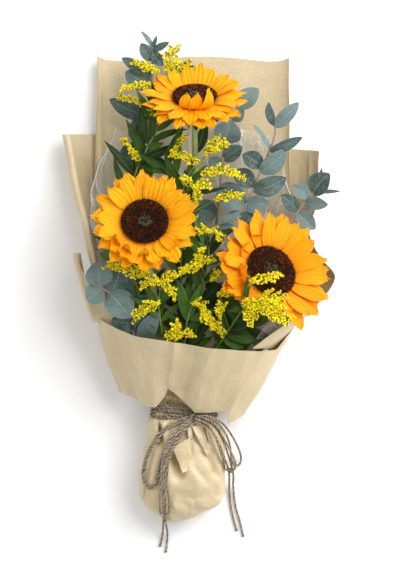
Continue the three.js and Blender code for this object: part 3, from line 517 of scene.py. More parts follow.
@dataclass(frozen=True)
class FloretFinish:
    """Goldenrod's small yellow flower heads, from dark olive buds to bright open ones; the buds' darkness
    is partly painted shade for the gaps between the heads.
    """

    # bud: olive, darkened further as painted shade for the gaps between the heads
    bud: Colour = (0.085, 0.085, 0.004)
    gold: Colour = (0.71, 0.58, 0.004)
    bright: Colour = (1.0, 0.86, 0.012)

    def material(self) -> Material:
        """The flower heads' material."""
        g = Graph("goldenrod_floret")
        mixed = g.tone() * 0.85 + g.cloud(500, 2) * 0.3
        colour = g.ramp(mixed, ((0.26, self.bud), (0.46, self.gold), (0.92, self.bright)))
        normal = g.bump(g.cloud(1400, 2), 0.0004)
        return g.done(g.shader(Base_Color=colour, Roughness=0.7, Normal=normal, Specular_IOR_Level=0.2))


@dataclass(frozen=True)
class KraftFinish:
    """Kraft paper: a warm tan with a fine grain, fibres and a low sheen."""

    light: Colour = (0.68, 0.563, 0.358)
    deep: Colour = (0.55, 0.437, 0.252)
    fibre: Colour = (0.40, 0.30, 0.16)
    # brown: the colour of the painted shade, and of the streaks in the foot's notch
    brown: Colour = (0.34, 0.17, 0.045)

    def material(self) -> Material:
        """The paper's material. Its tone is how brown it is: painted shade along folds, beside flaps and on
        facets turned from the light, and streaks in the foot's notch.

        Returns:
            The material.
        """
        g = Graph("kraft_paper")
        mottle = g.cloud(38, 4)
        grain = g.cloud(760, 3, (1, 0.6, 1))
        flecks = g.cloud(420, 2, (0.25, 1, 1)).step(0.64, 0.74)
        base = g.blend((mottle * 0.35 + grain * 0.85).step(0.35, 0.85), self.deep, self.light)
        colour = g.blend(flecks * 0.28, base, self.fibre)
        # painted shade: brown blended in by the tone
        colour = g.blend(g.tone() * 0.75, colour, self.brown)
        normal = g.bump(grain * 0.12 + g.cloud(55, 2) * 0.88, 0.0012, 0.5)
        return g.done(g.shader(Base_Color=colour, Roughness=0.34 + mottle * 0.16, Normal=normal))


@dataclass(frozen=True)
class FilmFinish:
    """Clear film: almost all of it is see-through, and what shows is its glints, in part painted as pale
    lines.
    """

    clear: float = 0.90

    def material(self) -> Material:
        """The film's material, with painted glints: pale lines along its creases. Its tone is 1 on the
        painted glint lines of a sharp crease.

        Returns:
            The material.
        """
        g = Graph("clear_film")
        fold = g.cloud(60, 3)
        normal = g.bump(fold, 0.006)
        # painted glints: pale lines along random creases and streaks, and where the tone is 1
        crease = 1 - abs(g.cloud(20, 0, (1.5, 0.45, 1)) - 0.5).step(0.002, 0.012)
        painted_shine = 1 - abs(g.cloud(55, 1, (1.4, 0.5, 1)) - 0.55).step(0.004, 0.02)
        gloss = g.shader(Base_Color=(0.93, 0.95, 0.96), Roughness=0.12, Normal=normal, Coat_Weight=1.0)
        through = g.wire("ShaderNodeBsdfTransparent", None, {0: (0.98, 0.99, 0.99)})
        facing = g.wire("ShaderNodeLayerWeight", None, {"Blend": 0.25, "Normal": normal}, out="Facing")
        share = self.clear - facing * 0.35 - crease * 0.4 - painted_shine * 0.18 - g.tone() * 0.8
        return g.done(g.wire("ShaderNodeMixShader", None, {0: share, 1: gloss, 2: through}))


@dataclass(frozen=True)
class JuteFinish:
    """Jute twine: dull brown grey fibres, twisted, lighter and darker at random, with a painted highlight
    on the crowns of its plies and painted shade between them.
    """

    dark: Colour = (0.026, 0.018, 0.011)
    middle: Colour = (0.235, 0.175, 0.11)
    pale: Colour = (0.66, 0.57, 0.44)
    twist: float = 2.0

    def material(self) -> Material:
        """The twine's material. Its tone is high on the crown of a ply and low between plies: painted
        highlight and painted shade.

        Returns:
            The material.
        """
        g = Graph("jute_twine")
        across, along = g.across()
        turned = (across * (self.twist * 6) + along * 160.0) * TAU + g.cloud(700, 2) * 9.0
        hair = turned.sine() * 0.5 + 0.5
        tone = g.tone()
        # painted highlight on the plies' crowns and painted shade between them, mixed with random fibre
        # colour
        mixed = tone * 0.52 + hair * 0.22 + g.cloud(330, 3) * 0.54
        colour = g.ramp(mixed, ((0.30, self.dark), (0.60, self.middle), (0.98, self.pale)))
        normal = g.bump(hair, 0.0003)
        return g.done(g.shader(Base_Color=colour, Roughness=0.9, Normal=normal, Specular_IOR_Level=0.15))


@dataclass(frozen=True)
class FloorFinish:
    """A plain pale floor."""

    tint: Colour = (0.96, 0.96, 0.96)

    def material(self) -> Material:
        """The floor's material."""
        g = Graph("floor")
        return g.done(g.shader(Base_Color=self.tint, Roughness=0.9))


class Finish(Enum):
    """Every finish on the bunch."""

    PETAL = PetalFinish()
    DISC = DiscFinish()
    SUNFLOWER_LEAF = LeafFinish(
        "sunflower_leaf", (0.014, 0.036, 0.006), (0.066, 0.125, 0.018), (0.2, 0.29, 0.09)
    )
    SUNFLOWER_STEM = StemFinish("sunflower_stem", (0.16, 0.24, 0.05), (0.42, 0.50, 0.20))
    EUCALYPTUS_LEAF = LeafFinish(
        "eucalyptus_leaf", (0.04, 0.074, 0.058), (0.15, 0.218, 0.212), (0.4, 0.44, 0.34), 0.55, 5, 0.34, 0.3
    )
    EUCALYPTUS_STEM = StemFinish("eucalyptus_stem", (0.22, 0.13, 0.07), (0.50, 0.36, 0.24))
    GOLDENROD_LEAF = LeafFinish(
        "goldenrod_leaf", (0.008, 0.028, 0.002), (0.052, 0.13, 0.008), (0.2, 0.32, 0.06)
    )
    GOLDENROD_STEM = StemFinish("goldenrod_stem", (0.10, 0.16, 0.03), (0.26, 0.36, 0.08))
    FLORET = FloretFinish()
    KRAFT = KraftFinish()
    FILM = FilmFinish()
    JUTE = JuteFinish()
    FLOOR = FloorFinish()


class Palette:
    """The materials, each made once."""

    made: dict[Finish, Material] = {}

    @classmethod
    def of(cls, finish: Finish) -> Material:
        """The material of a finish."""
        if finish not in cls.made:
            cls.made[finish] = finish.value.material()
        return cls.made[finish]


# -------------------- making pieces
def linked(name: str, data: bpy.types.ID) -> Piece:
    """A new object in the scene."""
    made = bpy.data.objects.new(name, data)
    bpy.context.scene.collection.objects.link(made)
    return made


class Moulder:
    """One piece in the making: its mesh, with a UV map, and a tone for each vertex."""

    SHARP = math.radians(48)

    def __init__(self, *finishes: Finish) -> None:
        """Args: finishes: what it is dressed in, by the number that a surface names."""
        self.finishes = finishes
        self.mesh = bmesh.new()
        self.mesh.loops.layers.uv.new("UVMap")
        self.tone = self.mesh.verts.layers.float.new("tone")

    def _dress(self, verts: Iterable[bmesh.types.BMVert], tone: float, finish: int) -> None:
        """Gives the faces of these vertices a finish, and the vertices a tone."""
        for vert in verts:
            vert[self.tone] = tone
            for face in vert.link_faces:
                face.material_index = finish
                face.smooth = True

    def surface(
        self, columns: int, rows: int, shape: Shape, thick: float = 0.0, tone: float = 0.5, finish: int = 0,
        tones: Measure | None = None,
    ) -> list[bmesh.types.BMVert]:
        """Adds a grid bent to a shape.

        Args:
            columns, rows: how many faces it has across and along.
            shape: the place of a spot from its measures across and along, each from 0 to 1.
            thick: its thickness, or 0 for a skin.
            tone: what sets it apart.
            finish: which of the piece's finishes it wears.
            tones: the tone of a spot, where it varies.

        Returns:
            The grid's vertices.
        """
        grid = bmesh.ops.create_grid(self.mesh, x_segments=columns, y_segments=rows, size=1, calc_uvs=True)
        verts = grid["verts"]
        self._dress(verts, tone, finish)
        for vert in verts:
            across, along = (vert.co.x + 1) / 2, (vert.co.y + 1) / 2
            vert.co = shape(across, along)
            if tones:
                vert[self.tone] = tones(across, along)
        if thick:
            self._thicken(distinct(face for vert in verts for face in vert.link_faces), thick)
        return verts

    def _thicken(self, faces: list[bmesh.types.BMFace], thick: float) -> None:
        """Makes a closed sheet of a skin: a copy of it is moved out along its normals.

        Args:
            faces: the skin's faces.
            thick: how far the copy moves out.
        """
        made = bmesh.ops.extrude_face_region(self.mesh, geom=faces, use_keep_orig=True)["geom"]
        copies = [part for part in made if isinstance(part, bmesh.types.BMFace)]
        corners = [part for part in made if isinstance(part, bmesh.types.BMVert)]
        for part in (*copies, *corners):
            part.normal_update()
        moves = [corner.normal * thick for corner in corners]
        for corner, move in zip(corners, moves):
            corner.co += move
        around = [face for corner in corners for face in corner.link_faces]
        bmesh.ops.recalc_face_normals(self.mesh, faces=distinct(around + faces))

    def tube(
        self, route: Route, radius: Measure, sides: int, rows: int, finish: int = 0,
        tones: Measure | None = None, closed: bool = False,
    ) -> None:
        """Adds a tube along a route.

        Args:
            route: its centre line.
            radius: its radius from the measures round and along it, each from 0 to 1.
            sides, rows: how many faces it has round and along.
            finish: which of the piece's finishes it wears.
            tones: the tone of a spot, where it varies.
            closed: whether its end meets its start.
        """
        frames = []
        square = route.along(0).orthogonal().normalized()
        for k in range(rows + 1):
            ahead = route.along(k / rows)
            square = (square - ahead * square.dot(ahead)).normalized()
            frames.append((route.at(k / rows), square, ahead.cross(square)))
        if closed:
            frames[-1] = frames[0]

        def shape(across: float, along: float) -> Vector:
            """The tube's surface."""
            centre, right, up = frames[round(along * rows)]
            turn = TAU * across
            return centre + (right * math.cos(turn) + up * math.sin(turn)) * radius(across, along)

        verts = self.surface(sides, rows, shape, 0.0, 0.5, finish, tones)
        bmesh.ops.remove_doubles(self.mesh, verts=verts, dist=1e-7)
        faces = distinct(face for vert in verts if vert.is_valid for face in vert.link_faces)
        edges = distinct(edge for face in faces for edge in face.edges if edge.is_boundary)
        if edges:
            caps = bmesh.ops.holes_fill(self.mesh, edges=edges, sides=0)["faces"]
            for cap in caps:
                cap.material_index = finish
            faces += caps
        bmesh.ops.recalc_face_normals(self.mesh, faces=faces)

    def spun(
        self, frame: BloomFrame, profile: Sequence[Point], steps: int, tone: float, finish: int = 0
    ) -> None:
        """Adds a profile spun round a bloom's axis.

        Args:
            frame: the bloom's directions.
            profile: its points, each a radius and a height out of the bloom.
            steps: how many faces it has round it.
            tone: what sets it apart.
            finish: which of the piece's finishes it wears.
        """
        verts = [self.mesh.verts.new(frame.point(0, radius, height)) for radius, height in profile]
        edges = [self.mesh.edges.new(pair) for pair in zip(verts, verts[1:])]
        before = set(self.mesh.faces)
        bmesh.ops.spin(
            self.mesh, geom=[*verts, *edges], cent=frame.centre, axis=frame.out, angle=TAU, steps=steps,
            use_merge=True,
        )
        faces = [face for face in self.mesh.faces if face not in before]
        corners = distinct(vert for face in faces for vert in face.verts)
        bmesh.ops.remove_doubles(self.mesh, verts=corners, dist=1e-6)
        faces = [face for face in self.mesh.faces if face not in before]
        self._dress(distinct(vert for face in faces for vert in face.verts), tone, finish)
        bmesh.ops.recalc_face_normals(self.mesh, faces=faces)

    def floret(self, place: Matrix, radius: float, tall: float, sides: int, tone: float) -> None:
        """Adds a small open cup or bud.

        Args:
            place: where it stands, with its axis along Z.
            radius, tall: its widest radius and its height.
            sides: how many sides it has.
            tone: what sets it apart.
        """
        cup = bmesh.ops.create_cone(
            self.mesh, cap_ends=True, segments=sides, radius1=radius, radius2=0.35 * radius, depth=tall,
            matrix=place, calc_uvs=True,
        )
        self._dress(cup["verts"], tone, 0)

    def bead(self, place: Matrix, radius: float, spike: float, tone: float) -> None:
        """Adds a small spiky head.

        Args:
            place, radius: where it is and its radius.
            spike: how far every other corner is pulled in, from 0 to 1.
            tone: what sets it apart.
        """
        ball = bmesh.ops.create_icosphere(
            self.mesh, subdivisions=1, radius=radius, matrix=place, calc_uvs=True
        )
        self._dress(ball["verts"], tone, 0)
        for vert in ball["verts"][::2]:
            vert.co = vert.co.lerp(place.translation, spike)

    def piece(self, name: str, slot: str, *nodes: str) -> Piece:
        """Finishes the piece.

        Args:
            name: its name.
            slot: not used.
            nodes: the construction's pieces that it stands for.

        Returns:
            The piece.
        """
        mesh = bpy.data.meshes.new(name)
        self.mesh.to_mesh(mesh)
        self.mesh.free()
        for finish in self.finishes:
            mesh.materials.append(Palette.of(finish))
        mesh.set_sharp_from_angle(angle=self.SHARP)
        made = linked(name, mesh)
        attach(made, BODY)
        if nodes:
            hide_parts(*nodes)
        LOG.info("%s: %d faces", name, len(mesh.polygons))
        return made


# -------------------- leaves and stems
class Outline(Enum):
    """The outlines a leaf may have."""

    ROUND = "round"
    LONG = "long"

    def width(self, share: float) -> float:
        """How wide the leaf is that share of the way to its tip, as a part of its full width."""
        if self is Outline.ROUND:
            return max(0.05, math.sin(math.pi * min(share**0.92, 0.992)) ** 0.62)
        return max(0.04, math.sin(math.pi * min(share**0.8, 0.995)) ** 0.95)


@dataclass(frozen=True)
class Leaf:
    """A leaf: the place on the stem that it grows from, its tip, its width and how far it is rolled."""

    base: Point
    tip: Point
    width: float
    roll: float = 0.0
    outline: Outline = Outline.ROUND

    @classmethod
    def at(cls, row: Sequence[float], outline: Outline) -> Leaf:
        """A leaf from its base's X and Y, its tip and its width, in millimetres, and its roll, if any."""
        return cls(metres(row[:2]), metres(row[2:5]), metres(row[5]), row[6] if row[6:] else 0, outline)

    def mould(self, moulder: Moulder, route: Route, rng: random.Random, rows: int) -> None:
        """Adds the leaf to a piece.

        Args:
            moulder: the piece.
            route: the stem that it grows from.
            rng: the random numbers.
            rows: how many faces it has along it.
        """
        base = route.nearest(self.base)
        blade = Vector(self.tip) - base
        length = blade.length
        axis = blade.normalized()
        across = Vector((0, 0, 1)).cross(axis).normalized()
        across.rotate(Matrix.Rotation(math.radians(self.roll + rng.uniform(-7, 7)), 3, axis))
        face = axis.cross(across)
        hollow = rng.uniform(0.10, 0.24)
        droop = rng.uniform(-0.02, 0.07) * length
        sway = rng.uniform(-0.05, 0.05) * length
        ripple = rng.uniform(0.02, 0.05)
        phase = rng.uniform(0, TAU)

        def shape(u: float, v: float) -> Vector:
            """The blade's surface."""
            wide = self.width * self.outline.width(v)
            side = 2 * u - 1
            wave = ripple * wide * side * side * math.sin(9 * v + phase + side)
            lift = hollow * abs(side) * wide / 2 + wave
            arch = 0.06 * length * 4 * v * (1 - v) - droop * v * v
            swerve = sway * 4 * v * (1 - v)
            return base + axis * (v * length) + across * (side * wide / 2 + swerve) + face * (lift + arch)

        moulder.surface(6, rows, shape, BLADE_THICK, rng.random())


def stem_route(neck: Point, onward: Iterable[Point]) -> Route:
    """A stem's route from its cut end in the foot through its place in the tie.

    Args:
        neck: its place in the tie, as X and Z.
        onward: the places after it.

    Returns:
        The route.
    """
    x, z = neck
    cut = (NECK_X + (x - NECK_X) * CUT_SPREAD, CUT_Y, NECK_Z + (z - NECK_Z) * CUT_SPREAD)
    return Route([cut, (x, NECK_Y - 0.012, z), (x, NECK_Y + 0.012, z), *onward])


def mould_stem(
    moulder: Moulder, route: Route, radius: float, finish: int, sides: int = 8, knots: float = 0.0
) -> None:
    """Adds a stem that thins towards its tip.

    Args:
        moulder: the piece it is part of.
        route: its centre line.
        radius: its radius at the cut end.
        finish: which of the piece's finishes it wears.
        sides: how many faces it has round it.
        knots: how far its joints stand out.
    """

    def thickness(u: float, v: float) -> float:
        """The stem's radius."""
        joint = max(0.0, math.cos(v * route.length * 260)) ** 8 * knots
        return radius * (mix(1.0, 0.72, v) + joint + 0.06 * math.sin(3 * TAU * u))

    moulder.tube(route, thickness, sides, max(12, round(route.length / 0.005)), finish)


@dataclass(frozen=True)
class Plume:
    """A goldenrod plume: where its twig leaves the stem, its thickness and its lobes' routes."""

    name: str
    foot: Point
    thick: float
    lobes: Sequence[Sequence[Point]]

    @classmethod
    def at(cls, name: str, foot: Point, thick: float, *lobes: Sequence[Point]) -> Plume:
        """A plume whose sizes are in millimetres."""
        return cls(name, metres(foot), metres(thick), metres(lobes))

    def twig(self, route: Route) -> Route:
        """The route of the twig that carries it."""
        foot = route.nearest(self.foot)
        start, onward = Vector(self.lobes[0][0]), Vector(self.lobes[0][1])
        return Route([foot, foot.lerp(start, 0.55) - Vector((0, 0, 0.003)), start.lerp(onward, 0.2)])


@dataclass(frozen=True)
class Spray:
    """A spray: its place in the tie, the way its stem runs on from there, its leaves and its plumes."""

    name: str
    neck: Point  # in millimetres, as the rest of the spray
    route: Sequence[Point]
    leaves: Sequence[Sequence[float]]  # rows as in Leaf.at
    plumes: Sequence[Sequence] = ()  # rows as in Plume.at

    def stem(self) -> Route:
        """The stem's route."""
        return stem_route(metres(self.neck), metres(self.route))


# -------------------- sunflowers
class BloomFrame:
    """The directions of a bloom: up its face, across it and out of it."""

    def __init__(self, centre: Point, tilt: float, toward: float) -> None:
        """Args: centre: its middle. tilt: how far it leans away from +Z. toward: which way, in degrees."""
        t, w = math.radians(tilt), math.radians(toward)
        self.centre = Vector(centre)
        self.uphill = Vector((math.cos(t) * math.cos(w), math.cos(t) * math.sin(w), -math.sin(t)))
        self.side = Vector((-math.sin(w), math.cos(w), 0))
        self.out = Vector((math.sin(t) * math.cos(w), math.sin(t) * math.sin(w), math.cos(t)))

    def point(self, angle: float, radius: float, height: float) -> Vector:
        """The place at that angle and radius round the bloom and that height out of it."""
        spoke = self.uphill * math.cos(angle) + self.side * math.sin(angle)
        return self.centre + spoke * radius + self.out * height

    def across(self, angle: float) -> Vector:
        """The direction round the bloom at that angle."""
        return self.side * math.cos(angle) - self.uphill * math.sin(angle)


@dataclass(frozen=True)
class Petal:
    """A petal: where it starts in the bloom, the headings that it follows, its width and its twist."""

    angle: float
    radius: float
    height: float
    length: float
    headings: Sequence[float]
    width: float
    twist: float = 0.0
    ruffle: float = 0.0
    blunt: float = 0.5
    warmth: float = 0.0

    def mould(self, moulder: Moulder, frame: BloomFrame, rng: random.Random) -> None:
        """Adds the petal to a piece.

        Args:
            moulder: the piece.
            frame: the bloom's directions.
            rng: the random numbers.
        """
        steps = 24
        radius, height = self.radius, self.height
        spine = [(radius, height, self.headings[0])]
        for k in range(steps):
            place = (k + 0.5) / steps * (len(self.headings) - 1)
            j = min(int(place), len(self.headings) - 2)
            heading = mix(self.headings[j], self.headings[j + 1], place - j)
            radius += self.length / steps * math.cos(math.radians(heading))
            height += self.length / steps * math.sin(math.radians(heading))
            spine.append((radius, height, heading))
        hollow = rng.uniform(-0.16, 0.26)
        phase = rng.uniform(0, TAU)
        notch = rng.uniform(-1, 1)
        sweep = rng.uniform(-0.10, 0.10)

        def shape(u: float, v: float) -> Vector:
            """The petal's surface."""
            side = 2 * u - 1
            teeth = 0.040 * math.sin(7.5 * side + 3 * notch) + 0.022 * math.sin(13 * side + phase)
            tip = v**5 * (0.10 * side * side + teeth)
            place = v * (1 - tip) * steps
            k = min(int(place), steps - 1)
            r, h, heading = (mix(a, b, place - k) for a, b in zip(spine[k], spine[k + 1]))
            end = max(0.0, 2 * v - 1)
            wide = self.width * (0.42 + 0.58 * smooth(0, 0.38, v))
            wide *= max(0.46 * self.blunt, (1 - end ** (1.5 + 2.4 * self.blunt)) ** 0.6)
            angle = self.angle + sweep * v
            across = frame.across(angle)
            slope = math.radians(heading)
            outward = frame.point(angle, 1, 0) - frame.centre
            face = frame.out * math.cos(slope) - outward * math.sin(slope)
            turn = math.radians(self.twist) * v * v
            edge = across * math.cos(turn) + face * math.sin(turn)
            back = face * math.cos(turn) - across * math.sin(turn)
            dish = hollow * side * side * wide / 2
            wave = self.ruffle * side * side * math.sin(9 * v + phase + 1.4 * side) * smooth(0.15, 0.6, v)
            furrow = 0.0007 * math.cos(3.2 * math.pi * side) * smooth(0.0, 0.3, v)
            return frame.point(angle, r, h) + edge * (side * wide / 2) + back * (dish + wave + furrow)

        moulder.surface(10, 12, shape, BLADE_THICK, self.warmth + 0.8 * rng.random())


@dataclass
class Sunflower:
    """A sunflower: its bloom's place and lean, the size and lift of its petals, its stem and its leaves."""

    name: str
    centre: Point
    tilt: float
    toward: float
    petal: float
    cup: Point
    neck: Point
    route: Sequence[Point]
    leaves: Sequence[Sequence[float]]  # rows as in Leaf.at
    outline: Outline = Outline.ROUND
    warmth: float = 0.0
    folded: Sequence[float] = ()
    fold_start: float = -15
    fold_length: float = 0.0340
    curled: Sequence[float] = ()
    stunted: Sequence[Point] = ()  # from and to, in degrees, and the petals' share of the length
    seed: int = 1
    per_layer: int = 18
    petal_width: float = 0.0200
    disc_radius: float = 0.0290
    overlap: float = 0.0045  # how far a petal starts inside the disc's rim
    seat: float = -0.0036  # the lower layer's height in the bloom
    layer_step: float = 0.0014
    florets: int = 1150
    stem_radius: float = 0.0045

    def __post_init__(self) -> None:
        """Sets the bloom's directions and its random numbers."""
        self.frame = BloomFrame(self.centre, self.tilt, self.toward)
        self.rng = random.Random(SEED + self.seed)

    def _lift(self, angle: float) -> float:
        """How far a petal at that angle rises from the bloom's plane, in degrees."""
        return self.cup[0] + self.cup[1] * math.cos(angle)

    def build_petals(self) -> Piece:
        """The ray petals, in two layers.

        Returns:
            The piece.
        """
        rng, petals = self.rng, Moulder(Finish.PETAL)
        for layer in range(2):
            for k in range(self.per_layer):
                angle = TAU * (k + layer / 2) / self.per_layer + rng.uniform(-0.07, 0.07)
                degrees = math.degrees(angle) % 360
                size = next((share for start, end, share in self.stunted if start < degrees < end), 1.0)
                cup = self._lift(angle) + 11 * layer + rng.uniform(-5, 6)
                curl = rng.uniform(-14, 6)
                ruffle = rng.uniform(0.0003, 0.0012)
                if self.curled and self.curled[0] < degrees < self.curled[1]:
                    curl += rng.uniform(20, 62)
                    ruffle *= 2.0
                length = self.petal * size * (1 - 0.09 * layer + rng.uniform(-0.09, 0.06))
                headings = (cup + 6, cup, cup - 6 + 0.4 * curl, cup - 10 + curl)
                width = self.petal_width * (1 - 0.06 * layer + rng.uniform(-0.12, 0.08))
                twist, blunt = rng.uniform(-16, 16), rng.uniform(0.55, 0.95)
                start, height = self.disc_radius - self.overlap, self.seat + self.layer_step * layer
                where = (angle, start, height, length, headings, width)
                Petal(*where, twist, ruffle, blunt, self.warmth).mould(petals, self.frame, rng)
        for degrees in self.folded:
            headings = (self.fold_start, self.fold_start + 50, 95, 100 + rng.uniform(-14, 14))
            length = self.fold_length * rng.uniform(0.85, 1.12)
            twist = rng.uniform(-35, 35)
            angle, start = math.radians(degrees), self.disc_radius - 0.001
            fold = Petal(angle, start, -0.001, length, headings, 0.0155, twist, 0.001, 0.5, self.warmth)
            fold.mould(petals, self.frame, rng)
        return petals.piece(f"{self.name}_petals", "petal", f"sunflower_{self.name}_rays")

    def _crown(self, radius: float) -> float:
        """The height of the disc's surface at that radius."""
        table = (0.0062, 0.0063, 0.0060, 0.0062, 0.0070, 0.0078, 0.0080, 0.0070, 0.0036)
        place = min(radius / self.disc_radius, 1.0) * (len(table) - 1)
        k = min(int(place), len(table) - 2)
        return mix(table[k], table[k + 1], place - k)

    def build_florets(self) -> Piece:
        """The disc of florets, set in spirals.

        Returns:
            The piece.
        """
        rng, disc, frame = self.rng, Moulder(Finish.DISC), self.frame
        spokes = [self.disc_radius * k / 12 for k in range(13)]
        profile = [(spoke, self._crown(spoke) - 0.0008) for spoke in spokes]
        disc.spun(frame, [*profile, (self.disc_radius - 0.002, -0.0012), (0.0, -0.0012)], 36, 0.45)
        golden = math.pi * (3 - math.sqrt(5))
        for n in range(self.florets):
            share = math.sqrt((n + 0.5) / self.florets)
            radius = share * (self.disc_radius - 0.0006)
            angle = n * golden
            place = frame.point(angle, radius, self._crown(radius))
            lean = math.radians(44) * share**3
            axis = frame.out * math.cos(lean) + (frame.point(angle, 1, 0) - frame.centre) * math.sin(lean)
            axis += Vector((rng.uniform(-1, 1), rng.uniform(-1, 1), rng.uniform(-1, 1))) * 0.22
            ring = smooth(0.20, 0.38, share)
            gold = rng.random() < 0.24
            tall = mix(0.0014, rng.uniform(0.0030, 0.0044) if gold else rng.uniform(0.0020, 0.0036), ring)
            wide = mix(0.0008, 0.00058 if gold else rng.uniform(0.0008, 0.0011), ring)
            open_tone = 0.97 if gold else rng.uniform(0.4, 0.78)
            tone = open_tone if rng.random() < ring else rng.uniform(0.02, 0.24)
            turned = axis.to_track_quat("Z", "Y").to_matrix().to_4x4()
            disc.floret(Matrix.Translation(place) @ turned, wide, tall, 5, tone)
        return disc.piece(f"{self.name}_florets", "seed_disc", f"sunflower_{self.name}_disc")

    def build_green(self) -> Piece:
        """The green head, its bracts, the stem and the leaves.

        Returns:
            The piece.
        """
        rng, frame = self.rng, self.frame
        green = Moulder(Finish.SUNFLOWER_LEAF, Finish.SUNFLOWER_STEM)
        head = metres(((0, -20), (5.5, -20), (14, -15.8), (22, -10), (23.5, -5.4), (0, -5.4)))
        green.spun(frame, head, 30, 0.3, 1)
        for k in range(22):
            angle = TAU * (k + rng.uniform(-0.2, 0.2)) / 22
            heading = self._lift(angle) - 24 - 12 * (k % 2) + rng.uniform(-8, 4)
            length = rng.uniform(0.022, 0.028)
            headings = (4, heading, heading - 8)
            bract = Petal(angle, 0.0150, -0.0105, length, headings, 0.0105, 10, 0.0006, 0.12)
            bract.mould(green, frame, rng)
        end = [frame.centre - frame.out * 0.028, frame.centre - frame.out * 0.016]
        route = stem_route(self.neck, [*self.route, *end])
        mould_stem(green, route, self.stem_radius, 1, 12)
        for leaf in self.leaves:
            Leaf.at(leaf, self.outline).mould(green, route, rng, 12)
        name = self.name
        return green.piece(f"{name}_sunflower_green", "sunflower_green", f"sunflower_{name}_green")

    def build(self) -> None:
        """Builds the whole flower."""
        self.build_petals()
        self.build_florets()
        self.build_green()


SUNFLOWERS = (
    Sunflower(
        "left", seed=1, centre=metres((-63, 83, 138)), tilt=22, toward=90, petal=0.0415, cup=(12, 13),
        neck=metres((-28, 31)),
        route=metres(((-38, -60, 54), (-55, 10, 84), (-62, 52, 104))),
        leaves=((-58, 36, -118, 46, 72, 22), (-50, -10, -74, 44, 80, 22, -20)),
        folded=(128, 152, 176), curled=(120, 236), disc_radius=0.0284,
    ),
    Sunflower(
        "right", seed=2, centre=metres((86, 24, 120)), tilt=38, toward=40, petal=0.0500, cup=(5, 28),
        neck=metres((-4, 31)),
        route=metres(((20, -70, 48), (50, -22, 68), (66, 4, 84))),
        leaves=(
            (44, -30, 84, -34, 92, 20), (24, -64, 88, -56, 70, 42, -8), (58, -10, 102, -24, 72, 30, 10),
            (40, -36, 12, 14, 80, 30, 10),
        ),
        warmth=0.9, folded=(72, 108, 146, 168), curled=(96, 175),
        stunted=((96, 172, 0.80), (172, 252, 0.55)), disc_radius=0.0325,
    ),
    Sunflower(
        "top", seed=3, centre=metres((-4, 232, 92)), tilt=62, toward=90, petal=0.0405, cup=(10, 20),
        neck=metres((-16, 20)),
        route=metres(((-12, -40, 36), (-4, 70, 56), (-3, 150, 70), (-4, 186, 77))),
        leaves=((-3, 166, 10, 208, 66, 14),), outline=Outline.LONG,
        folded=(160, 179, 200), fold_start=4, fold_length=0.0345, disc_radius=0.0268,
    ),
)


# -------------------- eucalyptus and goldenrod
EUCALYPTUS_SPRAYS = (
    Spray(
        "top_left", (-30, 17),
        route=((-44, -30, 20), (-56, 80, 26), (-60, 180, 34), (-56, 250, 42), (-55, 296, 48)),
        leaves=(
            (-55, 294, -68, 315, 52, 7, 40), (-55, 294, -50, 309, 50, 5), (-55, 291, -35, 301, 54, 9, 20),
            (-55, 290, -43, 273, 52, 14, 15), (-55, 278, -69, 300, 48, 16, -15),
            (-56, 262, -92, 283, 41, 15, 10), (-57, 250, -88, 266, 38, 27),
            (-58, 214, -107, 233, 36, 22, -20), (-60, 180, -74, 213, 32, 36), (-59, 176, -97, 157, 34, 32),
            (-60, 172, -46, 156, 36, 13),
        ),
    ),
    Spray(
        "back", (-4, 13.5),
        route=((10, -20, 16), (22, 80, 22), (29, 150, 30), (36, 196, 38), (48, 226, 46)),
        leaves=(
            (47, 223, 73, 245, 50, 24), (40, 208, 55, 221, 46, 17), (32, 180, 40, 207, 44, 34),
            (29, 160, 53, 176, 36, 20), (28, 146, 14, 163, 30, 18), (25, 112, 50, 128, 28, 30),
            (23, 92, -8, 102, 26, 28),
        ),
    ),
    Spray(
        "right", (6, 21),
        route=(
            (30, -50, 26), (46, 40, 38), (55, 98, 50), (65, 120, 56), (75, 145, 62), (86, 170, 68),
            (93, 192, 74), (92, 200, 76),
        ),
        leaves=(
            (92, 199, 84, 227, 82, 12, -20), (92, 197, 121, 226, 84, 19, 20),
            (86, 171, 67, 202, 74, 13, 62), (86, 169, 125, 186, 76, 16, 40), (78, 152, 54, 166, 66, 22),
            (74, 143, 105, 171, 72, 24, 15), (65, 122, 106, 137, 66, 24, 10), (68, 128, 42, 146, 58, 23),
            (56, 101, 85, 108, 56, 21), (58, 105, 22, 123, 54, 32), (54, 96, 28, 84, 56, 13, 20),
            (50, 78, 72, 94, 50, 26, 10), (49, 70, 18, 66, 48, 28), (47, 55, 74, 56, 46, 28, 10),
            (45, 40, 14, 34, 42, 28),
        ),
    ),
    Spray(
        "far_right", (11, 30),
        route=((50, -60, 40), (88, 10, 50), (110, 80, 56), (124, 102, 60), (136, 116, 64), (142, 122, 66)),
        leaves=(
            (121, 97, 101, 117, 66, 18, 10), (120, 96, 141, 76, 64, 21), (128, 106, 156, 105, 72, 17, 25),
            (134, 114, 114, 128, 64, 18), (137, 118, 158, 142, 76, 27, -10), (141, 121, 149, 149, 68, 6),
            (141, 121, 171, 121, 66, 6, 40),
        ),
    ),
    Spray(
        "lower_left", (-45, 35),
        route=((-72, -70, 52), (-92, -24, 76), (-103, -4, 88), (-116, 6, 96), (-122, 16, 98)),
        leaves=(
            (-116, 6, -121, 36, 104, 33), (-115, 5, -131, -12, 98, 27, 10),
            (-104, -2, -93, 33, 92, 28, 10), (-100, -8, -80, 23, 86, 26, 10),
            (-108, -2, -80, -30, 102, 36, -10),
        ),
    ),
    Spray(
        "low", (-38, 41),
        route=((-56, -90, 54), (-69, -56, 72), (-79, -22, 82)),
        leaves=(
            (-74, -40, -104, -34, 80, 28), (-70, -52, -64, -22, 96, 20, 10),
            (-66, -60, -48, -24, 100, 23, 10), (-78, -26, -58, -4, 92, 28, 10),
            (-79, -23, -98, 2, 86, 30, -10),
        ),
    ),
)

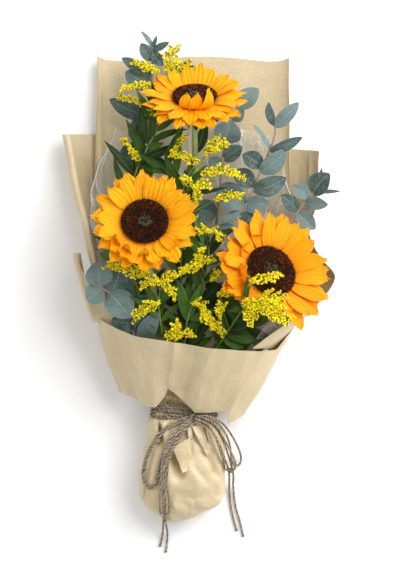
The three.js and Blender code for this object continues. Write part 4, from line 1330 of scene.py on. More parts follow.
GOLDENROD_SPRAYS = (
    Spray(
        "top_left", (-40, 24),
        route=((-64, -40, 30), (-82, 60, 44), (-76, 140, 60), (-50, 196, 66), (-40, 236, 58)),
        leaves=((-77, 138, -112, 182, 74, 12, 20),),
        plumes=(
            ("b", (-44, 220), 10, ((-48, 266, 52), (-63, 272, 53), (-80, 278, 52))),
            ("c", (-46, 212), 9, ((-58, 251, 66), (-76, 248, 68), (-92, 245, 70))),
            ("d", (-48, 200), 9, ((-52, 212, 68), (-72, 229, 66), (-94, 235, 60))),
            ("e", (-72, 150), 8, ((-70, 158, 72), (-78, 168, 72), (-90, 184, 70))),
            ("a", (-40, 234), 18,
             ((-38, 268, 28), (-33, 284, 27), (-29, 296, 28)),
             ((-36, 270, 26), (-22, 270, 25), (-8, 275, 25))),
        ),
    ),
    Spray(
        "top_centre", (-16, 30),
        route=(
            (-20, -30, 48), (-20, 50, 68), (-18, 100, 80), (-18, 130, 84), (-30, 146, 78), (-41, 149, 73),
        ),
        leaves=((-40, 149, -17, 200, 68, 13, 10), (-17, 118, 37, 126, 84, 6, 20)),
        plumes=(
            ("f", (-16, 132), 11, ((0, 156, 92), (-16, 162, 94), (-32, 165, 93))),
            ("h", (-24, 149), 7, ((-30, 162, 80), (-24, 176, 80), (-15, 188, 80))),
            ("g", (-16, 126), 16, ((8, 164, 88), (20, 174, 90), (34, 180, 88))),
            ("i", (-17, 120), 11, ((4, 140, 100), (28, 146, 100), (56, 136, 96))),
            ("j", (-17, 116), 11,
             ((-6, 126, 106), (-12, 134, 106), (-19, 138, 104)),
             ((-4, 126, 106), (6, 128, 106), (13, 128, 105)),
             ((-4, 125, 106), (-2, 116, 107), (-5, 104, 107))),
            ("l", (-19, 90), 11, ((20, 110, 102), (38, 116, 103), (52, 115, 101))),
        ),
    ),
    Spray(
        "centre", (-13, 39),
        route=((-8, -80, 60), (2, -20, 84), (10, 24, 98), (14, 56, 106)),
        leaves=((12, 44, -8, 96, 106, 9, 20), (14, 55, 44, 76, 110, 13, -20), (4, -10, 24, 12, 94, 12)),
        plumes=(
            ("m", (14, 54), 11,
             ((15, 72, 116), (8, 74, 117), (0, 73, 117)),
             ((15, 72, 116), (22, 72, 117), (25, 62, 116))),
            ("o", (9, 20), 12,
             ((4, 32, 116), (1, 40, 118), (4, 52, 118)),
             ((4, 32, 116), (-8, 30, 120), (-21, 25, 120)),
             ((4, 34, 116), (12, 38, 118), (19, 40, 118))),
            ("y", (8, 12), 12, ((16, 14, 112), (22, 19, 114), (32, 27, 112))),
        ),
    ),
    Spray(
        "lower_left", (-26, 43),
        route=((-34, -90, 66), (-44, -40, 92), (-48, -10, 108)),
        leaves=((-47, -16, -24, 12, 104, 8),),
        plumes=(
            ("p", (-48, -12), 13, ((-58, 22, 118), (-82, 26, 120), (-108, 32, 118))),
            ("q", (-47, -14), 11,
             ((-44, 10, 126), (-54, 14, 128), (-67, 8, 128)),
             ((-44, 10, 126), (-34, 18, 128), (-25, 22, 128)),
             ((-43, 10, 126), (-34, 2, 124), (-27, -6, 122))),
            ("s", (-46, -24), 14, ((-46, -12, 124), (-58, -18, 124), (-76, -30, 118))),
        ),
    ),
    Spray(
        "bottom", (-15, 44.5),
        route=((-16, -98, 58), (-16, -70, 84), (-14, -40, 100), (-10, -24, 106)),
        leaves=(
            (-13, -36, -24, 16, 112, 11, 15), (-13, -34, 6, 12, 110, 11, -15),
            (-14, -42, -36, -22, 108, 7),
        ),
        plumes=(
            ("u", (-16, -66), 13,
             ((-20, -52, 104), (-28, -53, 105), (-38, -52, 103)),
             ((-20, -52, 104), (-12, -50, 106), (-6, -50, 106)),
             ((-21, -50, 105), (-24, -44, 108), (-27, -38, 108))),
            ("v", (-11, -28), 13,
             ((-6, -14, 118), (2, -14, 122), (9, -17, 122)),
             ((4, -17, 122), (9, -28, 122), (19, -38, 118), (30, -50, 110))),
        ),
    ),
    Spray(
        "right", (-1, 42),
        route=((8, -92, 58), (30, -56, 84), (48, -28, 112), (58, -12, 140)),
        leaves=(
            (58, -13, 61, 24, 164, 7, 10), (36, -46, 62, -40, 104, 12), (34, -50, 74, -60, 86, 15),
            (30, -56, 56, -68, 80, 14, 10),
        ),
        plumes=(
            ("w", (38, -44), 12, ((24, -4, 126), (36, 0, 128), (48, 2, 126))),
            ("k", (57, -14), 12, ((62, 12, 162), (80, 16, 158), (97, 22, 149))),
            ("z", (54, -20), 20,
             ((52, -12, 154), (66, -16, 159), (84, -22, 159), (106, -34, 152)),
             ((54, -14, 153), (60, -24, 155), (66, -33, 152)),
             ((68, -13, 158), (84, -9, 160), (100, -11, 156))),
            ("x", (34, -50), 15, ((26, -31, 124), (27, -22, 128), (28, -13, 130))),
        ),
    ),
)


@dataclass
class Eucalyptus:
    """A spray of silver dollar eucalyptus."""

    spray: Spray
    seed: int
    stem_radius: float = 0.0017

    def build(self) -> Piece:
        """The stem with its leaves.

        Returns:
            The piece.
        """
        rng = random.Random(SEED + self.seed)
        green = Moulder(Finish.EUCALYPTUS_LEAF, Finish.EUCALYPTUS_STEM)
        route = self.spray.stem()
        mould_stem(green, route, self.stem_radius, 1, 8, 0.18)
        for leaf in self.spray.leaves:
            Leaf.at(leaf, Outline.ROUND).mould(green, route, rng, 11)
        name = self.spray.name
        return green.piece(f"{name}_eucalyptus_spray", "eucalyptus_leaf", f"eucalyptus_{name}")


@dataclass
class Goldenrod:
    """A spray of goldenrod: its green stem, twigs and leaves, and its yellow plumes."""

    spray: Spray
    seed: int
    fill_start: float = -0.072  # along Y, behind the collar's edge
    side_start: float = -0.058  # the same at the left, where the collar is close
    side: float = -0.045
    fill_pitch: float = 0.0050
    fill_turn: float = 2.4  # the golden angle, in radians
    low: float = 0.004
    stem_radius: float = 0.0015
    twig_radius: float = 0.0008
    pitch: float = 0.0022
    branch_pitch: float = 0.0038
    reach: float = 0.0022  # how far heads stand off a lobe
    branch_reach: float = 0.0018
    head_radius: float = 0.00150

    def _fill_leaves(self, green: Moulder, route: Route, rng: random.Random) -> None:
        """Adds narrow leaves that point out and up the stem, turned by the golden angle each time.

        Args:
            green: the mesh to add to.
            route: the stem.
            rng: the spray's random draws.
        """
        count = round(route.length / self.fill_pitch)
        turn = rng.uniform(0, TAU)
        for k in range(count):
            base, ahead = route.at(k / count), route.along(k / count)
            turn += self.fill_turn
            if base.y < (self.fill_start if base.x > self.side else self.side_start):
                continue
            right = ahead.cross(Vector((0, 0, 1))).normalized()
            upward = right.cross(ahead)
            outward = right * math.cos(turn) + upward * math.sin(turn)
            length = rng.uniform(0.034, 0.058)
            way = ahead * rng.uniform(0.5, 0.85) + outward * rng.uniform(0.5, 0.8)
            tip = base + way.normalized() * length
            tip.z = min(max(tip.z, self.low), base.z + 0.003)
            roll = rng.uniform(-35, 35)
            leaf = Leaf(base, tip, rng.uniform(0.0075, 0.0115), roll, Outline.LONG)
            leaf.mould(green, route, rng, 8)

    def build_green(self) -> Piece:
        """The stem, the twigs and the leaves.

        Returns:
            The piece.
        """
        rng = random.Random(SEED + self.seed)
        green = Moulder(Finish.GOLDENROD_LEAF, Finish.GOLDENROD_STEM)
        route = self.spray.stem()
        mould_stem(green, route, self.stem_radius, 1, 8)
        for row in self.spray.plumes:
            green.tube(Plume.at(*row).twig(route), lambda u, v: self.twig_radius, 6, 10, 1)
        for leaf in self.spray.leaves:
            Leaf.at(leaf, Outline.LONG).mould(green, route, rng, 10)
        self._fill_leaves(green, route, rng)
        name = self.spray.name
        return green.piece(f"{name}_goldenrod_leaves", "goldenrod_green", f"goldenrod_{name}_green")

    def _add_heads(self, heads: Moulder, route: Route, reach: float, rng: random.Random) -> None:
        """Adds flower heads in fours along a twig.

        Args:
            heads: the piece.
            route: the twig.
            reach: how far the heads stand off it at its foot.
            rng: the random numbers.
        """
        rows = max(2, round(route.length / self.pitch))
        for k in range(rows + 1):
            ahead = route.along(k / rows)
            right = ahead.orthogonal().normalized()
            for j in range(4):
                outward = right.copy()
                outward.rotate(Matrix.Rotation(TAU * (j + 0.5 * k + rng.uniform(-0.3, 0.3)) / 4, 3, ahead))
                aside = reach * mix(1.0, 0.6, k / rows) * rng.uniform(0.6, 1.2)
                spot = route.at(k / rows) + outward * aside
                spot += ahead * rng.uniform(-0.5, 0.5) * self.pitch
                radius = self.head_radius * rng.uniform(0.7, 1.15)
                tilt = Matrix.Rotation(rng.uniform(0, TAU), 4, outward)
                # each head's tone at random: low tones take the bud colour, which is partly painted shade
                # between the heads
                light = rng.random() ** 0.75
                heads.bead(Matrix.Translation(spot) @ tilt, radius, rng.uniform(0.3, 0.5), light)

    def build_plume(self, plume: Plume) -> Piece:
        """One plume: along each of its lobes, branchlets to either side, all covered in flower heads.

        Args:
            plume: where the plume's lobes run.

        Returns:
            The piece.
        """
        rng = random.Random(SEED + self.seed + ord(plume.name))
        heads = Moulder(Finish.FLORET, Finish.GOLDENROD_STEM)
        for lobe in plume.lobes:
            route = Route(lobe)
            heads.tube(route, lambda u, v: self.twig_radius, 5, 8, 1)
            self._add_heads(heads, route, self.reach, rng)
            count = max(4, round(route.length / self.branch_pitch))
            for k in range(count):
                share = (k + 0.3) / count
                ahead = route.along(share)
                aside = ahead.cross(Vector((0, 0, 1))).normalized() * (1 if k % 2 else -1)
                way = ahead * 0.75 + aside * rng.uniform(0.55, 0.85)
                way = (way + Vector((0, 0, rng.uniform(-0.1, 0.45)))).normalized()
                length = plume.thick * mix(0.85, 0.45, share) * rng.uniform(0.6, 1.2)
                foot = route.at(share)
                twig = Route((foot, foot + way * length * 0.5, foot + (way + ahead * 0.3) * length))
                heads.tube(twig, lambda u, v: 0.6 * self.twig_radius, 4, 4, 1)
                self._add_heads(heads, twig, self.branch_reach, rng)
        node = f"goldenrod_{self.spray.name}_plume_{plume.name}"
        return heads.piece(f"{self.spray.name}_goldenrod_heads_{plume.name}", "goldenrod_floret", node)

    def build(self) -> None:
        """Builds the whole spray."""
        self.build_green()
        for row in self.spray.plumes:
            self.build_plume(Plume.at(*row))


# -------------------- kraft paper and the liner
COLLAR_FOLDS = metres((
    ((-104, -24, 10), (-74, -112, 10)), ((-119, -28, 24), (-90, -118, 22)),
    ((-123, -31, 44), (-95, -121, 38)), ((-117, -33, 76), (-86, -124, 52)),
    ((-98, -43, 96), (-72, -132, 60)), ((-74, -52, 110), (-60, -139, 66)),
    ((-52, -56, 119), (-50, -139, 68)), ((-30, -60, 124), (-34, -115, 76)),
    ((-8, -63, 127), (-18, -130, 72)), ((14, -66, 127), (-4, -145, 69)), ((36, -68, 122), (14, -145, 67)),
    ((60, -70, 112), (35, -144, 63)), ((78, -70, 96), (37, -159, 50)), ((95, -69, 74), (57, -147, 40)),
    ((109, -51, 58), (65, -133, 30)), ((116, -44, 34), (62, -124, 18)), ((108, -38, 10), (50, -116, 9)),
))
FOOT_SECTIONS = metres((
    (-110, -60, 26, 1.6, 60), (-127, -54, 20, 5, 55), (-143, -53, 20, 6, 54), (-157, -61, 25, 3, 58),
    (-174, -62, 32, 0.2, 63), (-222, -70, 32, 0, 62), (-245, -70, 30, 0, 56), (-257, -65, 26, 0, 50),
    (-266, -56, 10, 0.4, 43), (-276, -38, -14, 5, 34),
))
FOOT_TONGUES = metres((
    ((-31.1, -187.1, 11), (-8.8, -175.1, 8), (-5.6, -212, 1), (-18, -217.5, 8)),
    ((-7, -162, 6), (7, -160, -2), (29, -224, -4), (22, -220, -1)),
    ((8, -159, 5), (18, -164, -2), (25, -204, -3), (18, -206, -1)),
    ((-15, -158, 5), (-5.5, -158, 3), (-6, -178, -2), (-11, -177, 4)),
    ((-60, -156, 2), (-50, -152, 6), (-46, -180, 4), (-58, -184, -2)),
    ((-44, -156, 6), (-33, -155, -1), (-31, -190, -2), (-39, -192, 3)),
))


def painted_shade_rows(*rows: Sequence[float]) -> list[Point]:
    """Soft spots of painted shade, each with its place, width and height in millimetres and its strength.
    """
    return [(*metres(row[:4]), row[4]) for row in rows]


def sheet_rows(*rows: Sequence[float]) -> list[Point]:
    """A sheet's rows from one end to the other, in millimetres.

    A row has its place along Y, the floor's height or the rim's place along Y, and for each edge where its
    arc starts, its reach, the height of its rim, and the angle at which it ends, in degrees.
    """
    return [tuple(part if k in (5, 9) else part / 1000 for k, part in enumerate(row)) for row in rows]


# painted shadow beside the foot's raised flap, and painted shade on its facets turned from the light
FOOT_PAINTED_SHADE = painted_shade_rows(
    (-30, -183, 4.5, 3.4, 0.6), (-22, -175.5, 6, 3, 0.6), (-12, -171.5, 6, 2.8, 0.5),
    (-27, -206, 6.5, 12, 0.45), (3, -186, 2.6, 6, 0.42), (7.5, -195, 2.6, 6, 0.42),
    (-56, -157, 2.2, 6, 0.45), (-46, -164, 2, 6, 0.4),
)
# painted shade on the parts of the collar turned from the light
COLLAR_PAINTED_SHADE = painted_shade_rows(
    (-104, -90, 22, 60, 0.26), (-10, -85, 11, 36, 0.2), (-56, -128, 20, 12, 0.1), (58, -118, 10, 40, 0.12),
)
BACK_SHEET = sheet_rows(
    (-130, 9, -24, -10, 12, -40, -12, 8, 11, -40), (-104, 4.6, -26, -20, 8, -40, -8, 20, 8, -40),
    (-74, 0.5, -28, -48, 8, -30, 0, 42, 8, -30), (-30, 0.5, -38, -46, 9, -20, 10, 66, 10, -20),
    (40, 0.5, -52, -56, 13, -20, 38, 68, 12, -20), (120, 0.5, -62, -62, 14, -10, 54, 59, 12, -10),
    (200, 0.5, -66, -58, 15, 0, 56, 56, 12, -10), (284, 0.5, -66, -56, 17, 10, 58, 53, 12, -10),
)
LINER = sheet_rows(
    (-74, 6, -30, -56, 22, 0, 12, 62, 84, 48), (-40, 6, -40, -62, 28, 0, 24, 74, 84, 38),
    (6, 6, -48, -64, 38, 0, 34, 96, 56, 8), (50, 6, -52, -70, 42, 0, 50, 86, 36, 0),
    (98, 6, -60, -70, 38, 0, 56, 66, 28, 0), (142, 6, -66, -56, 28, 0, 60, 44, 20, 0),
    (196, 6, -62, -36, 16, 0, 60, 38, 14, 0),
)
LEFT_SHEET = sheet_rows(
    (192, 191, -99, -66, 30, -8, 5), (128, 124, -98, -55, 38, -6, 5), (78, 74, -95, -45, 48, -2, 4.6),
    (34, 30, -90, -39, 56, 2, 4), (-10, -12, -80, -39, 64, 8, 3.4), (-44, -46, -72, -36, 66, 12, 3),
)
RIGHT_SHEET = sheet_rows(
    (176, 170, 91, 57, 32, -8), (118, 110, 90, 54, 38, -8), (76, 72, 86, 50, 44, -6),
    (44, 42, 82, 66, 50, -4), (12, 18, 78, 87, 58, 0), (-22, -12, 62, 84, 76, 14),
    (-46, -40, 54, 62, 92, 40), (-70, -68, 42, 47, 103, 62),
)
# the painted glint lines along the film's creases, drawn as thin tubes of tone 1
FILM_GLINT_LINES = (  # from and to, as measures across and along the liner
    (0.004, 1, 0.004, 0.6), (0.01, 0.83, 0.13, 0.74), (0.006, 0.8, 0.06, 0.68), (0.03, 0.97, 0.1, 0.8),
    (0.996, 0.94, 0.996, 0.62), (0.96, 0.9, 0.86, 0.7), (0.73, 0.09, 0.97, 0.17), (0.74, 0.02, 0.93, 0.15),
    (0.8, 0.06, 0.88, 0), (0.69, 0.06, 0.78, 0.01),
)
CUFF = metres((
    (-145, 47, 54, 6.6), (-140, 22, 57, 6.4), (-133, -6, 60, 5.6), (-124, -36, 64, 4.5),
))


@dataclass(frozen=True)
class Fold:
    """A crease in a sheet, seen from above: from start to end, with its width and height."""

    start: Point
    end: Point
    width: float
    height: float

    @classmethod
    def at(cls, *row: float) -> Fold:
        """A crease from its start's and its end's X and Y, its width and its height, in millimetres."""
        row = metres(row)
        return cls(row[:2], row[2:4], row[4], row[5])

    def _spot(self, x: float, y: float) -> tuple[float, float]:
        """How far to the left of the line a spot is, and how much of the fold is left there."""
        dx, dy = self.end[0] - self.start[0], self.end[1] - self.start[1]
        length = math.hypot(dx, dy)
        share = ((x - self.start[0]) * dx + (y - self.start[1]) * dy) / length**2
        aside = ((y - self.start[1]) * dx - (x - self.start[0]) * dy) / length
        return aside, smooth(-0.12, 0.15, share) * (1 - smooth(0.85, 1.12, share))

    def lift(self, x: float, y: float) -> float:
        """How far the fold raises the sheet at a spot."""
        aside, fade = self._spot(x, y)
        return self.height * fade * max(0.0, 1 - abs(aside) / (2 * self.width)) ** 1.5

    def crease_shade(self, x: float, y: float) -> float:
        """How much painted shade browns the paper where the fold meets the sheet, from 0 to 1."""
        aside, fade = self._spot(x, y)
        foot = -1.1 * self.width * math.copysign(1, self.height)
        return 0.6 * fade * math.exp(-(((aside - foot) / 0.0022) ** 2))


def arc_point(
    start: float, reach: float, floor: float, rim: float, turn: float, share: float
) -> tuple[float, float]:
    """A spot on a sheet's edge that rises in an arc from its flat part.

    Args:
        start: where the arc begins, along X.
        reach: how far out it goes.
        floor: its height where it begins.
        rim: its height where it ends.
        turn: the angle at which it ends, from -90 where it begins.
        share: how far along the arc.

    Returns:
        The spot's X and Z.
    """
    rise = (rim - floor) / (1 + math.sin(math.radians(turn)))
    angle = math.radians(mix(-90, turn, share))
    return start + reach * math.cos(angle), floor + rise * (1 + math.sin(angle))


def painted_shade_spots(place: Vector, spots: Sequence[Sequence[float]]) -> float:
    """How much painted shade browns the paper at a place, from soft spots such as those of the foot and the
    collar.
    """
    return sum(
        share * math.exp(-(((place.x - x) / wide) ** 2) - ((place.y - y) / tall) ** 2)
        for x, y, wide, tall, share in spots
    )


@dataclass
class Sheet:
    """A sheet of paper or film: how it is crumpled and creased."""

    seed: float = 1.0
    wide: float = 0.045
    deep: float = 0.0014
    fine: float = 0.011
    shallow: float = 0.0004
    folds: Sequence[Fold] = ()
    facet: float = 0.030
    valley: float = 0.0005

    def worn(self, place: Vector, out: Vector) -> Vector:
        """A spot of the sheet after crumpling and creasing.

        Args:
            place: the spot on the smooth sheet.
            out: the way a fold rises there.

        Returns:
            The spot.
        """
        free = smooth(0.0008, 0.012, place.z)
        moved = place + (crumple(place, self.wide, self.deep, self.seed) * free)
        moved += crumple(place, self.fine, self.shallow, self.seed + 5) * free
        squat = Vector((place.x, place.y * 0.55, place.z))
        moved += out * (facets(squat, self.facet, self.valley, self.seed) * free)
        for fold in self.folds:
            moved += out * (fold.lift(place.x, place.y) * free)
        moved.z = max(moved.z, 0.0002)
        return moved

    def painted_shade(self, place: Vector) -> float:
        """How much painted shade browns the sheet at a spot, along the feet of its folds, from 0 to 1."""
        return min(1.0, sum(fold.crease_shade(place.x, place.y) for fold in self.folds))


@dataclass
class Trough(Sheet):
    """A sheet with a flat middle and two rising edges, such as the back sheet and the liner."""

    rows: Sequence[Sequence[float]] = ()
    ridge: float = 0.0
    edge: float = 0.003
    rising: float = 0.32  # each edge's share of the width

    def point(self, u: float, v: float) -> Vector:
        """A spot of the sheet from its measures across and along.

        Args:
            u: the share across, from 0 to 1.
            v: the share along, from 0 to 1.

        Returns:
            The spot, in metres.
        """
        y, floor, *sides = blend_rows(self.rows, v)
        left, right = sides[:4], sides[4:]
        edge = self.rising
        if u < edge:
            x, z = arc_point(left[0], left[1], floor, left[2], left[3], 1 - u / edge)
        elif u > 1 - edge:
            x, z = arc_point(right[0], right[1], floor, right[2], right[3], (u - 1 + edge) / edge)
        else:
            x, z = mix(left[0], right[0], (u - edge) / (1 - 2 * edge)), floor
        z += self.ridge * math.exp(-(((u - 0.085) / 0.022) ** 2))
        y += self.edge * math.sin(11 * u + self.seed) * v**6
        return self.worn(Vector((x, y, z)), Vector((0, 0, 1)))


@dataclass
class SideSheet(Sheet):
    """A side sheet, which may end in a roll."""

    rows: Sequence[Sequence[float]] = ()
    floor: float = 0.0005
    rolled: float = 0.0

    def point(self, u: float, v: float) -> Vector:
        """A spot of the sheet from its measures across and along.

        Args:
            u: the share across, from 0 to 1.
            v: the share along, from 0 to 1.

        Returns:
            The spot, in metres.
        """
        y, rim_y, start, reach, rim, turn, *roll = blend_rows(self.rows, v)
        share = min(1.0, u / (1 - self.rolled))
        x, z = arc_point(start, reach, self.floor, rim, turn, share)
        if self.rolled and u > 1 - self.rolled:
            angle = math.radians(mix(180, -50, (u - 1 + self.rolled) / self.rolled))
            x, z = x + roll[0] * (1 + math.cos(angle)), z + roll[0] * math.sin(angle)
        place = Vector((x, mix(y, rim_y, share), z))
        return self.worn(place, Vector((-math.copysign(0.5, reach), 0, 0.8)))


@dataclass
class Cuff(Sheet):
    """The strip of the wrap that is curled into an open roll at the left corner, and runs in from there."""

    rows: Sequence[Sequence[float]] = ()
    rolled: float = 0.55
    reach: float = 0.026
    rise: float = 0.008

    def point(self, u: float, v: float) -> Vector:
        """A spot of the cuff from its measures round and along.

        Args:
            u: the share across, from 0 to 1.
            v: the share along, from 0 to 1.

        Returns:
            The spot, in metres.
        """
        x, y, z, radius = blend_rows(self.rows, v)
        angle = math.radians(mix(-60, -275, min(1.0, u / self.rolled)))
        inward = max(0.0, (u - self.rolled) / (1 - self.rolled))
        x += radius * math.cos(angle) + self.reach * inward * smooth(0.1, 0.8, v)
        z += 1.5 * radius * math.sin(angle) + self.rise * inward * inward
        return self.worn(Vector((x, y - 0.006 * inward, z)), Vector((0, 0, 1)))


@dataclass
class Collar(Sheet):
    """The front collar, from under its left side over to under its right side, with its V-shaped notch."""

    rows: Sequence[tuple[Point, Point]] = ()
    middle: Point = (-0.010, -0.090, 0.040)
    crown: float = 0.0025
    crisp: float = 0.6
    hem: float = 0.07
    hem_gap: float = 0.0016

    def _straight(self, place: float, end: int) -> Vector:
        """The top or lower edge, straight from fold to fold."""
        k = min(int(place), len(self.rows) - 2)
        return Vector(self.rows[k][end]).lerp(Vector(self.rows[k + 1][end]), place - k)

    def point(self, u: float, v: float) -> Vector:
        """A spot of the collar from its measures across and down.

        Args:
            u: the share across, from 0 to 1.
            v: the share along, from 0 to 1.

        Returns:
            The spot, in metres.
        """
        place = u * (len(self.rows) - 1)
        curves = [Vector(blend_rows([row[end] for row in self.rows], u)) for end in (0, 1)]
        top, soft = (curve.lerp(self._straight(place, end), self.crisp) for end, curve in enumerate(curves))
        share = max(0.0, (v - self.hem) / (1 - self.hem))
        bottom = soft.lerp(self._straight(place, 1), 0.85 * share)
        inside = max(0.0, (self.hem - v) / self.hem)
        share = share or inside * 0.07
        point = top.lerp(bottom, share)
        outward = point - Vector(self.middle)
        outward.y = 0
        outward.normalize()
        pleat = 0.0011 * math.sin(place * 4.6) * share * share
        hem = self.hem_gap * smooth(0.0, 0.35, inside)
        point += outward * (self.crown * 4 * share * (1 - share) + pleat - hem)
        return self.worn(point, outward)


@dataclass
class FootWrap(Sheet):
    """The paper round the stems' ends: a bag with its mouth inside the collar and its end folded shut."""

    rows: Sequence[Sequence[float]] = ()
    squareness: float = 0.72
    pleats: int = 6
    pleat_depth: float = 0.0013

    def point(self, u: float, v: float) -> Vector:
        """A spot of the wrap from its measures round and along.

        Args:
            u: the share across, from 0 to 1.
            v: the share along, from 0 to 1.

        Returns:
            The spot, in metres.
        """
        y, left, right, under, top = blend_rows(self.rows, v)
        turn = TAU * u - math.pi / 2
        c, s = math.cos(turn), math.sin(turn)
        pleated = 1 - min(1.0, abs(y - NECK_Y) / 0.060)
        pleat = pleated * self.pleat_depth * (math.cos(self.pleats * turn + 60 * y) - 1)
        gather = 0.0011 * math.sin(23 * turn + 9 * math.sin(3 * turn) + 90 * (y - NECK_Y)) * pleated**2
        width = (right - left) / 2 + pleat + gather
        height = (top - under) / 2 + (pleat + gather if s > 0 else 0.0)
        x = (left + right) / 2 + width * math.copysign(abs(c) ** self.squareness, c)
        z = (under + top) / 2 + height * math.copysign(abs(s) ** self.squareness, s)
        out = Vector((c, 0, s)) * smooth(-0.2, 0.3, s)
        return self.worn(Vector((x, y, z)), out)

    def height(self, x: float, y: float) -> float:
        """The height of the wrap's front at a spot, before it is crumpled.

        Args:
            x, y: the spot.

        Returns:
            Its height above the table.
        """
        share = (y - self.rows[0][0]) / (self.rows[-1][0] - self.rows[0][0])
        for _ in range(6):
            share += (y - blend_rows(self.rows, share)[0]) / (self.rows[-1][0] - self.rows[0][0])
        _, left, right, under, top = blend_rows(self.rows, share)
        aside = min(1.0, abs(2 * x - left - right) / (right - left))
        rise = (1 - aside ** (2 / self.squareness)) ** (self.squareness / 2)
        return (under + top) / 2 + (top - under) / 2 * rise


@dataclass
class Tongue:
    """A fold of the foot's paper that stands off it.

    Its corners are given in order round it, each with its X, its Y and its height over the foot.
    """

    foot: FootWrap
    corners: Sequence[Point]
    swell: float = 0.002

    def point(self, u: float, v: float) -> Vector:
        """A spot of the fold from its measures across and along."""
        a, b, c, d = (Vector(corner) for corner in self.corners)
        spot = a.lerp(b, u).lerp(d.lerp(c, u), v)
        over = spot.z + self.swell * 4 * u * (1 - u) * (1 - 0.5 * v)
        spot.z = self.foot.height(spot.x, spot.y) + over
        return spot + crumple(spot, 0.010, 0.0009, 3.0)


@dataclass(frozen=True)
class PlainSheet:
    """A sheet without painted shade: its name, its node, how many faces it has across and along, and its
    shape.
    """

    name: str
    node: str
    columns: int
    rows: int
    sheet: Trough | SideSheet | Cuff

    def build(self) -> Piece:
        """The sheet."""
        made = Moulder(Finish.KRAFT)
        made.surface(self.columns, self.rows, self.sheet.point, PAPER_THICK, 0.0)
        return made.piece(self.name, "kraft_paper", self.node)


LEFT_FOLDS = (Fold.at(-150, 140, -128, -20, 3, 1.8), Fold.at(-134, 160, -120, 20, 4, -1.6))
RIGHT_FOLDS = (Fold.at(136, 160, 136, 0, 2.6, 2.8), Fold.at(122, 150, 126, 10, 4, -1.5))
BACK = Trough(2.0, 0.06, 0.0016, 0.012, 0.0003, rows=BACK_SHEET, ridge=0.003)
LEFT = SideSheet(3.0, 0.05, 0.0016, 0.011, 0.00035, LEFT_FOLDS, rows=LEFT_SHEET, rolled=0.26)
RIGHT = SideSheet(4.0, 0.05, 0.0018, 0.011, 0.00035, RIGHT_FOLDS, rows=RIGHT_SHEET)
CORNER = Cuff(5.0, 0.03, 0.0008, 0.009, 0.0003, rows=CUFF)
PLAIN_SHEETS = (
    PlainSheet("back_paper", "paper_back_sheet", 120, 110, BACK),
    PlainSheet("left_paper", "paper_left_sheet", 80, 110, LEFT),
    PlainSheet("right_paper", "paper_right_sheet", 80, 120, RIGHT),
    PlainSheet("left_paper_cuff", "paper_left_cuff", 60, 44, CORNER),
)


class Wrapping:
    """Every sheet of the wrap."""

    def build_collar(self) -> Piece:
        """The front collar.

        Returns:
            The piece.
        """
        collar = Moulder(Finish.KRAFT)
        folds = (
            Fold.at(-34, -118, -26, -56, 4, 4.2),
            Fold.at(-18, -124, -2, -70, 10, -6.8),
            Fold.at(-14, -128, 20, -64, 4.5, 1.8),
            Fold.at(-60, -139, -86, -50, 5, 2),
            Fold.at(-74, -130, -104, -40, 3, -1.4),
            Fold.at(14, -145, 50, -70, 4.5, -1.6),
            Fold.at(34, -146, 80, -70, 4, 2),
            Fold.at(52, -145, 98, -66, 3.5, -1.2),
        )
        shape = Collar(6.0, 0.04, 0.0014, 0.010, 0.0003, folds, 0.05, 0.0010, rows=COLLAR_FOLDS).point

        def painted_shade(u: float, v: float) -> float:
            """How much painted shade browns the collar, on its parts turned from the light."""
            return min(1.0, painted_shade_spots(shape(u, v), COLLAR_PAINTED_SHADE))

        collar.surface(230, 80, shape, PAPER_THICK, tones=painted_shade)
        return collar.piece("front_collar", "kraft_paper", "paper_collar")

    def build_foot(self) -> Piece:
        """The foot wrap.

        Returns:
            The piece, with its tongues.
        """
        foot = Moulder(Finish.KRAFT)
        folds = (
            Fold.at(-34, -186, -24, -228, 5, -3.4),
            Fold.at(-4.4, -173.3, 23.9, -223.1, 3, -3.6),
            Fold.at(20, -164, 30, -196, 3, -3),
            Fold.at(-30, -196, -21, -226, 6, -4),
            Fold.at(-56, -160, -49, -186, 3, -3.6),
            Fold.at(-44, -158, -38, -190, 2.6, 2.8),
            Fold.at(-48, -190, -62, -252, 4, 2.6),
        )
        shape = FootWrap(7.0, 0.03, 0.0014, 0.009, 0.0004, folds, 0.024, 0.0062, rows=FOOT_SECTIONS)

        def brown(u: float, v: float) -> float:
            """How brown the foot is: painted shade along its folds, beside its flaps and on facets turned
            from the light, and streaks where it is gathered in the notch.
            """
            place = shape.point(u, v)
            if place.z < NECK_Z:
                return 0.0
            gathered = smooth(-0.140, -0.130, place.y) * (0.80 + noise.noise(place * 200))
            return max(0.0, min(1.0, shape.painted_shade(place) + gathered + painted_shade_spots(place, FOOT_PAINTED_SHADE)))

        foot.surface(210, 130, shape.point, PAPER_THICK, tones=brown)
        for corners in FOOT_TONGUES:
            foot.surface(16, 24, Tongue(shape, corners).point, PAPER_THICK, 0.0)
        seam = [vert for vert in foot.mesh.verts if abs(vert.co.x + 0.02) < 0.05 and vert.co.z < 0.01]
        bmesh.ops.remove_doubles(foot.mesh, verts=seam, dist=2e-5)
        return foot.piece("foot_paper", "kraft_paper", "paper_foot_wrap")

    def build_liner(self) -> Piece:
        """The clear film between the flowers and the paper.

        Returns:
            The piece.
        """
        liner = Moulder(Finish.FILM)
        shape = Trough(8.0, 0.022, 0.0034, 0.008, 0.0009, rows=LINER, edge=0.006).point
        liner.surface(90, 90, shape, FILM_THICK, 0.0)
        # painted glints: thin pale tubes along the creases
        for u, v, end_u, end_v in FILM_GLINT_LINES:
            spots = [shape(mix(u, end_u, k / 8), mix(v, end_v, k / 8)) for k in range(9)]
            crease = Route([spot + Vector((0, 0, 0.0006)) for spot in spots])
            liner.tube(crease, lambda u, v: 0.00055 * (1.1 - abs(2 * v - 1)), 5, 24, 0, lambda u, v: 1.0)
        return liner.piece("clear_liner", "clear_film", "cellophane_liner")

    def build(self) -> None:
        """Builds the sheets in order."""
        for sheet in PLAIN_SHEETS:
            sheet.build()
        self.build_liner()
        self.build_collar()
        self.build_foot()


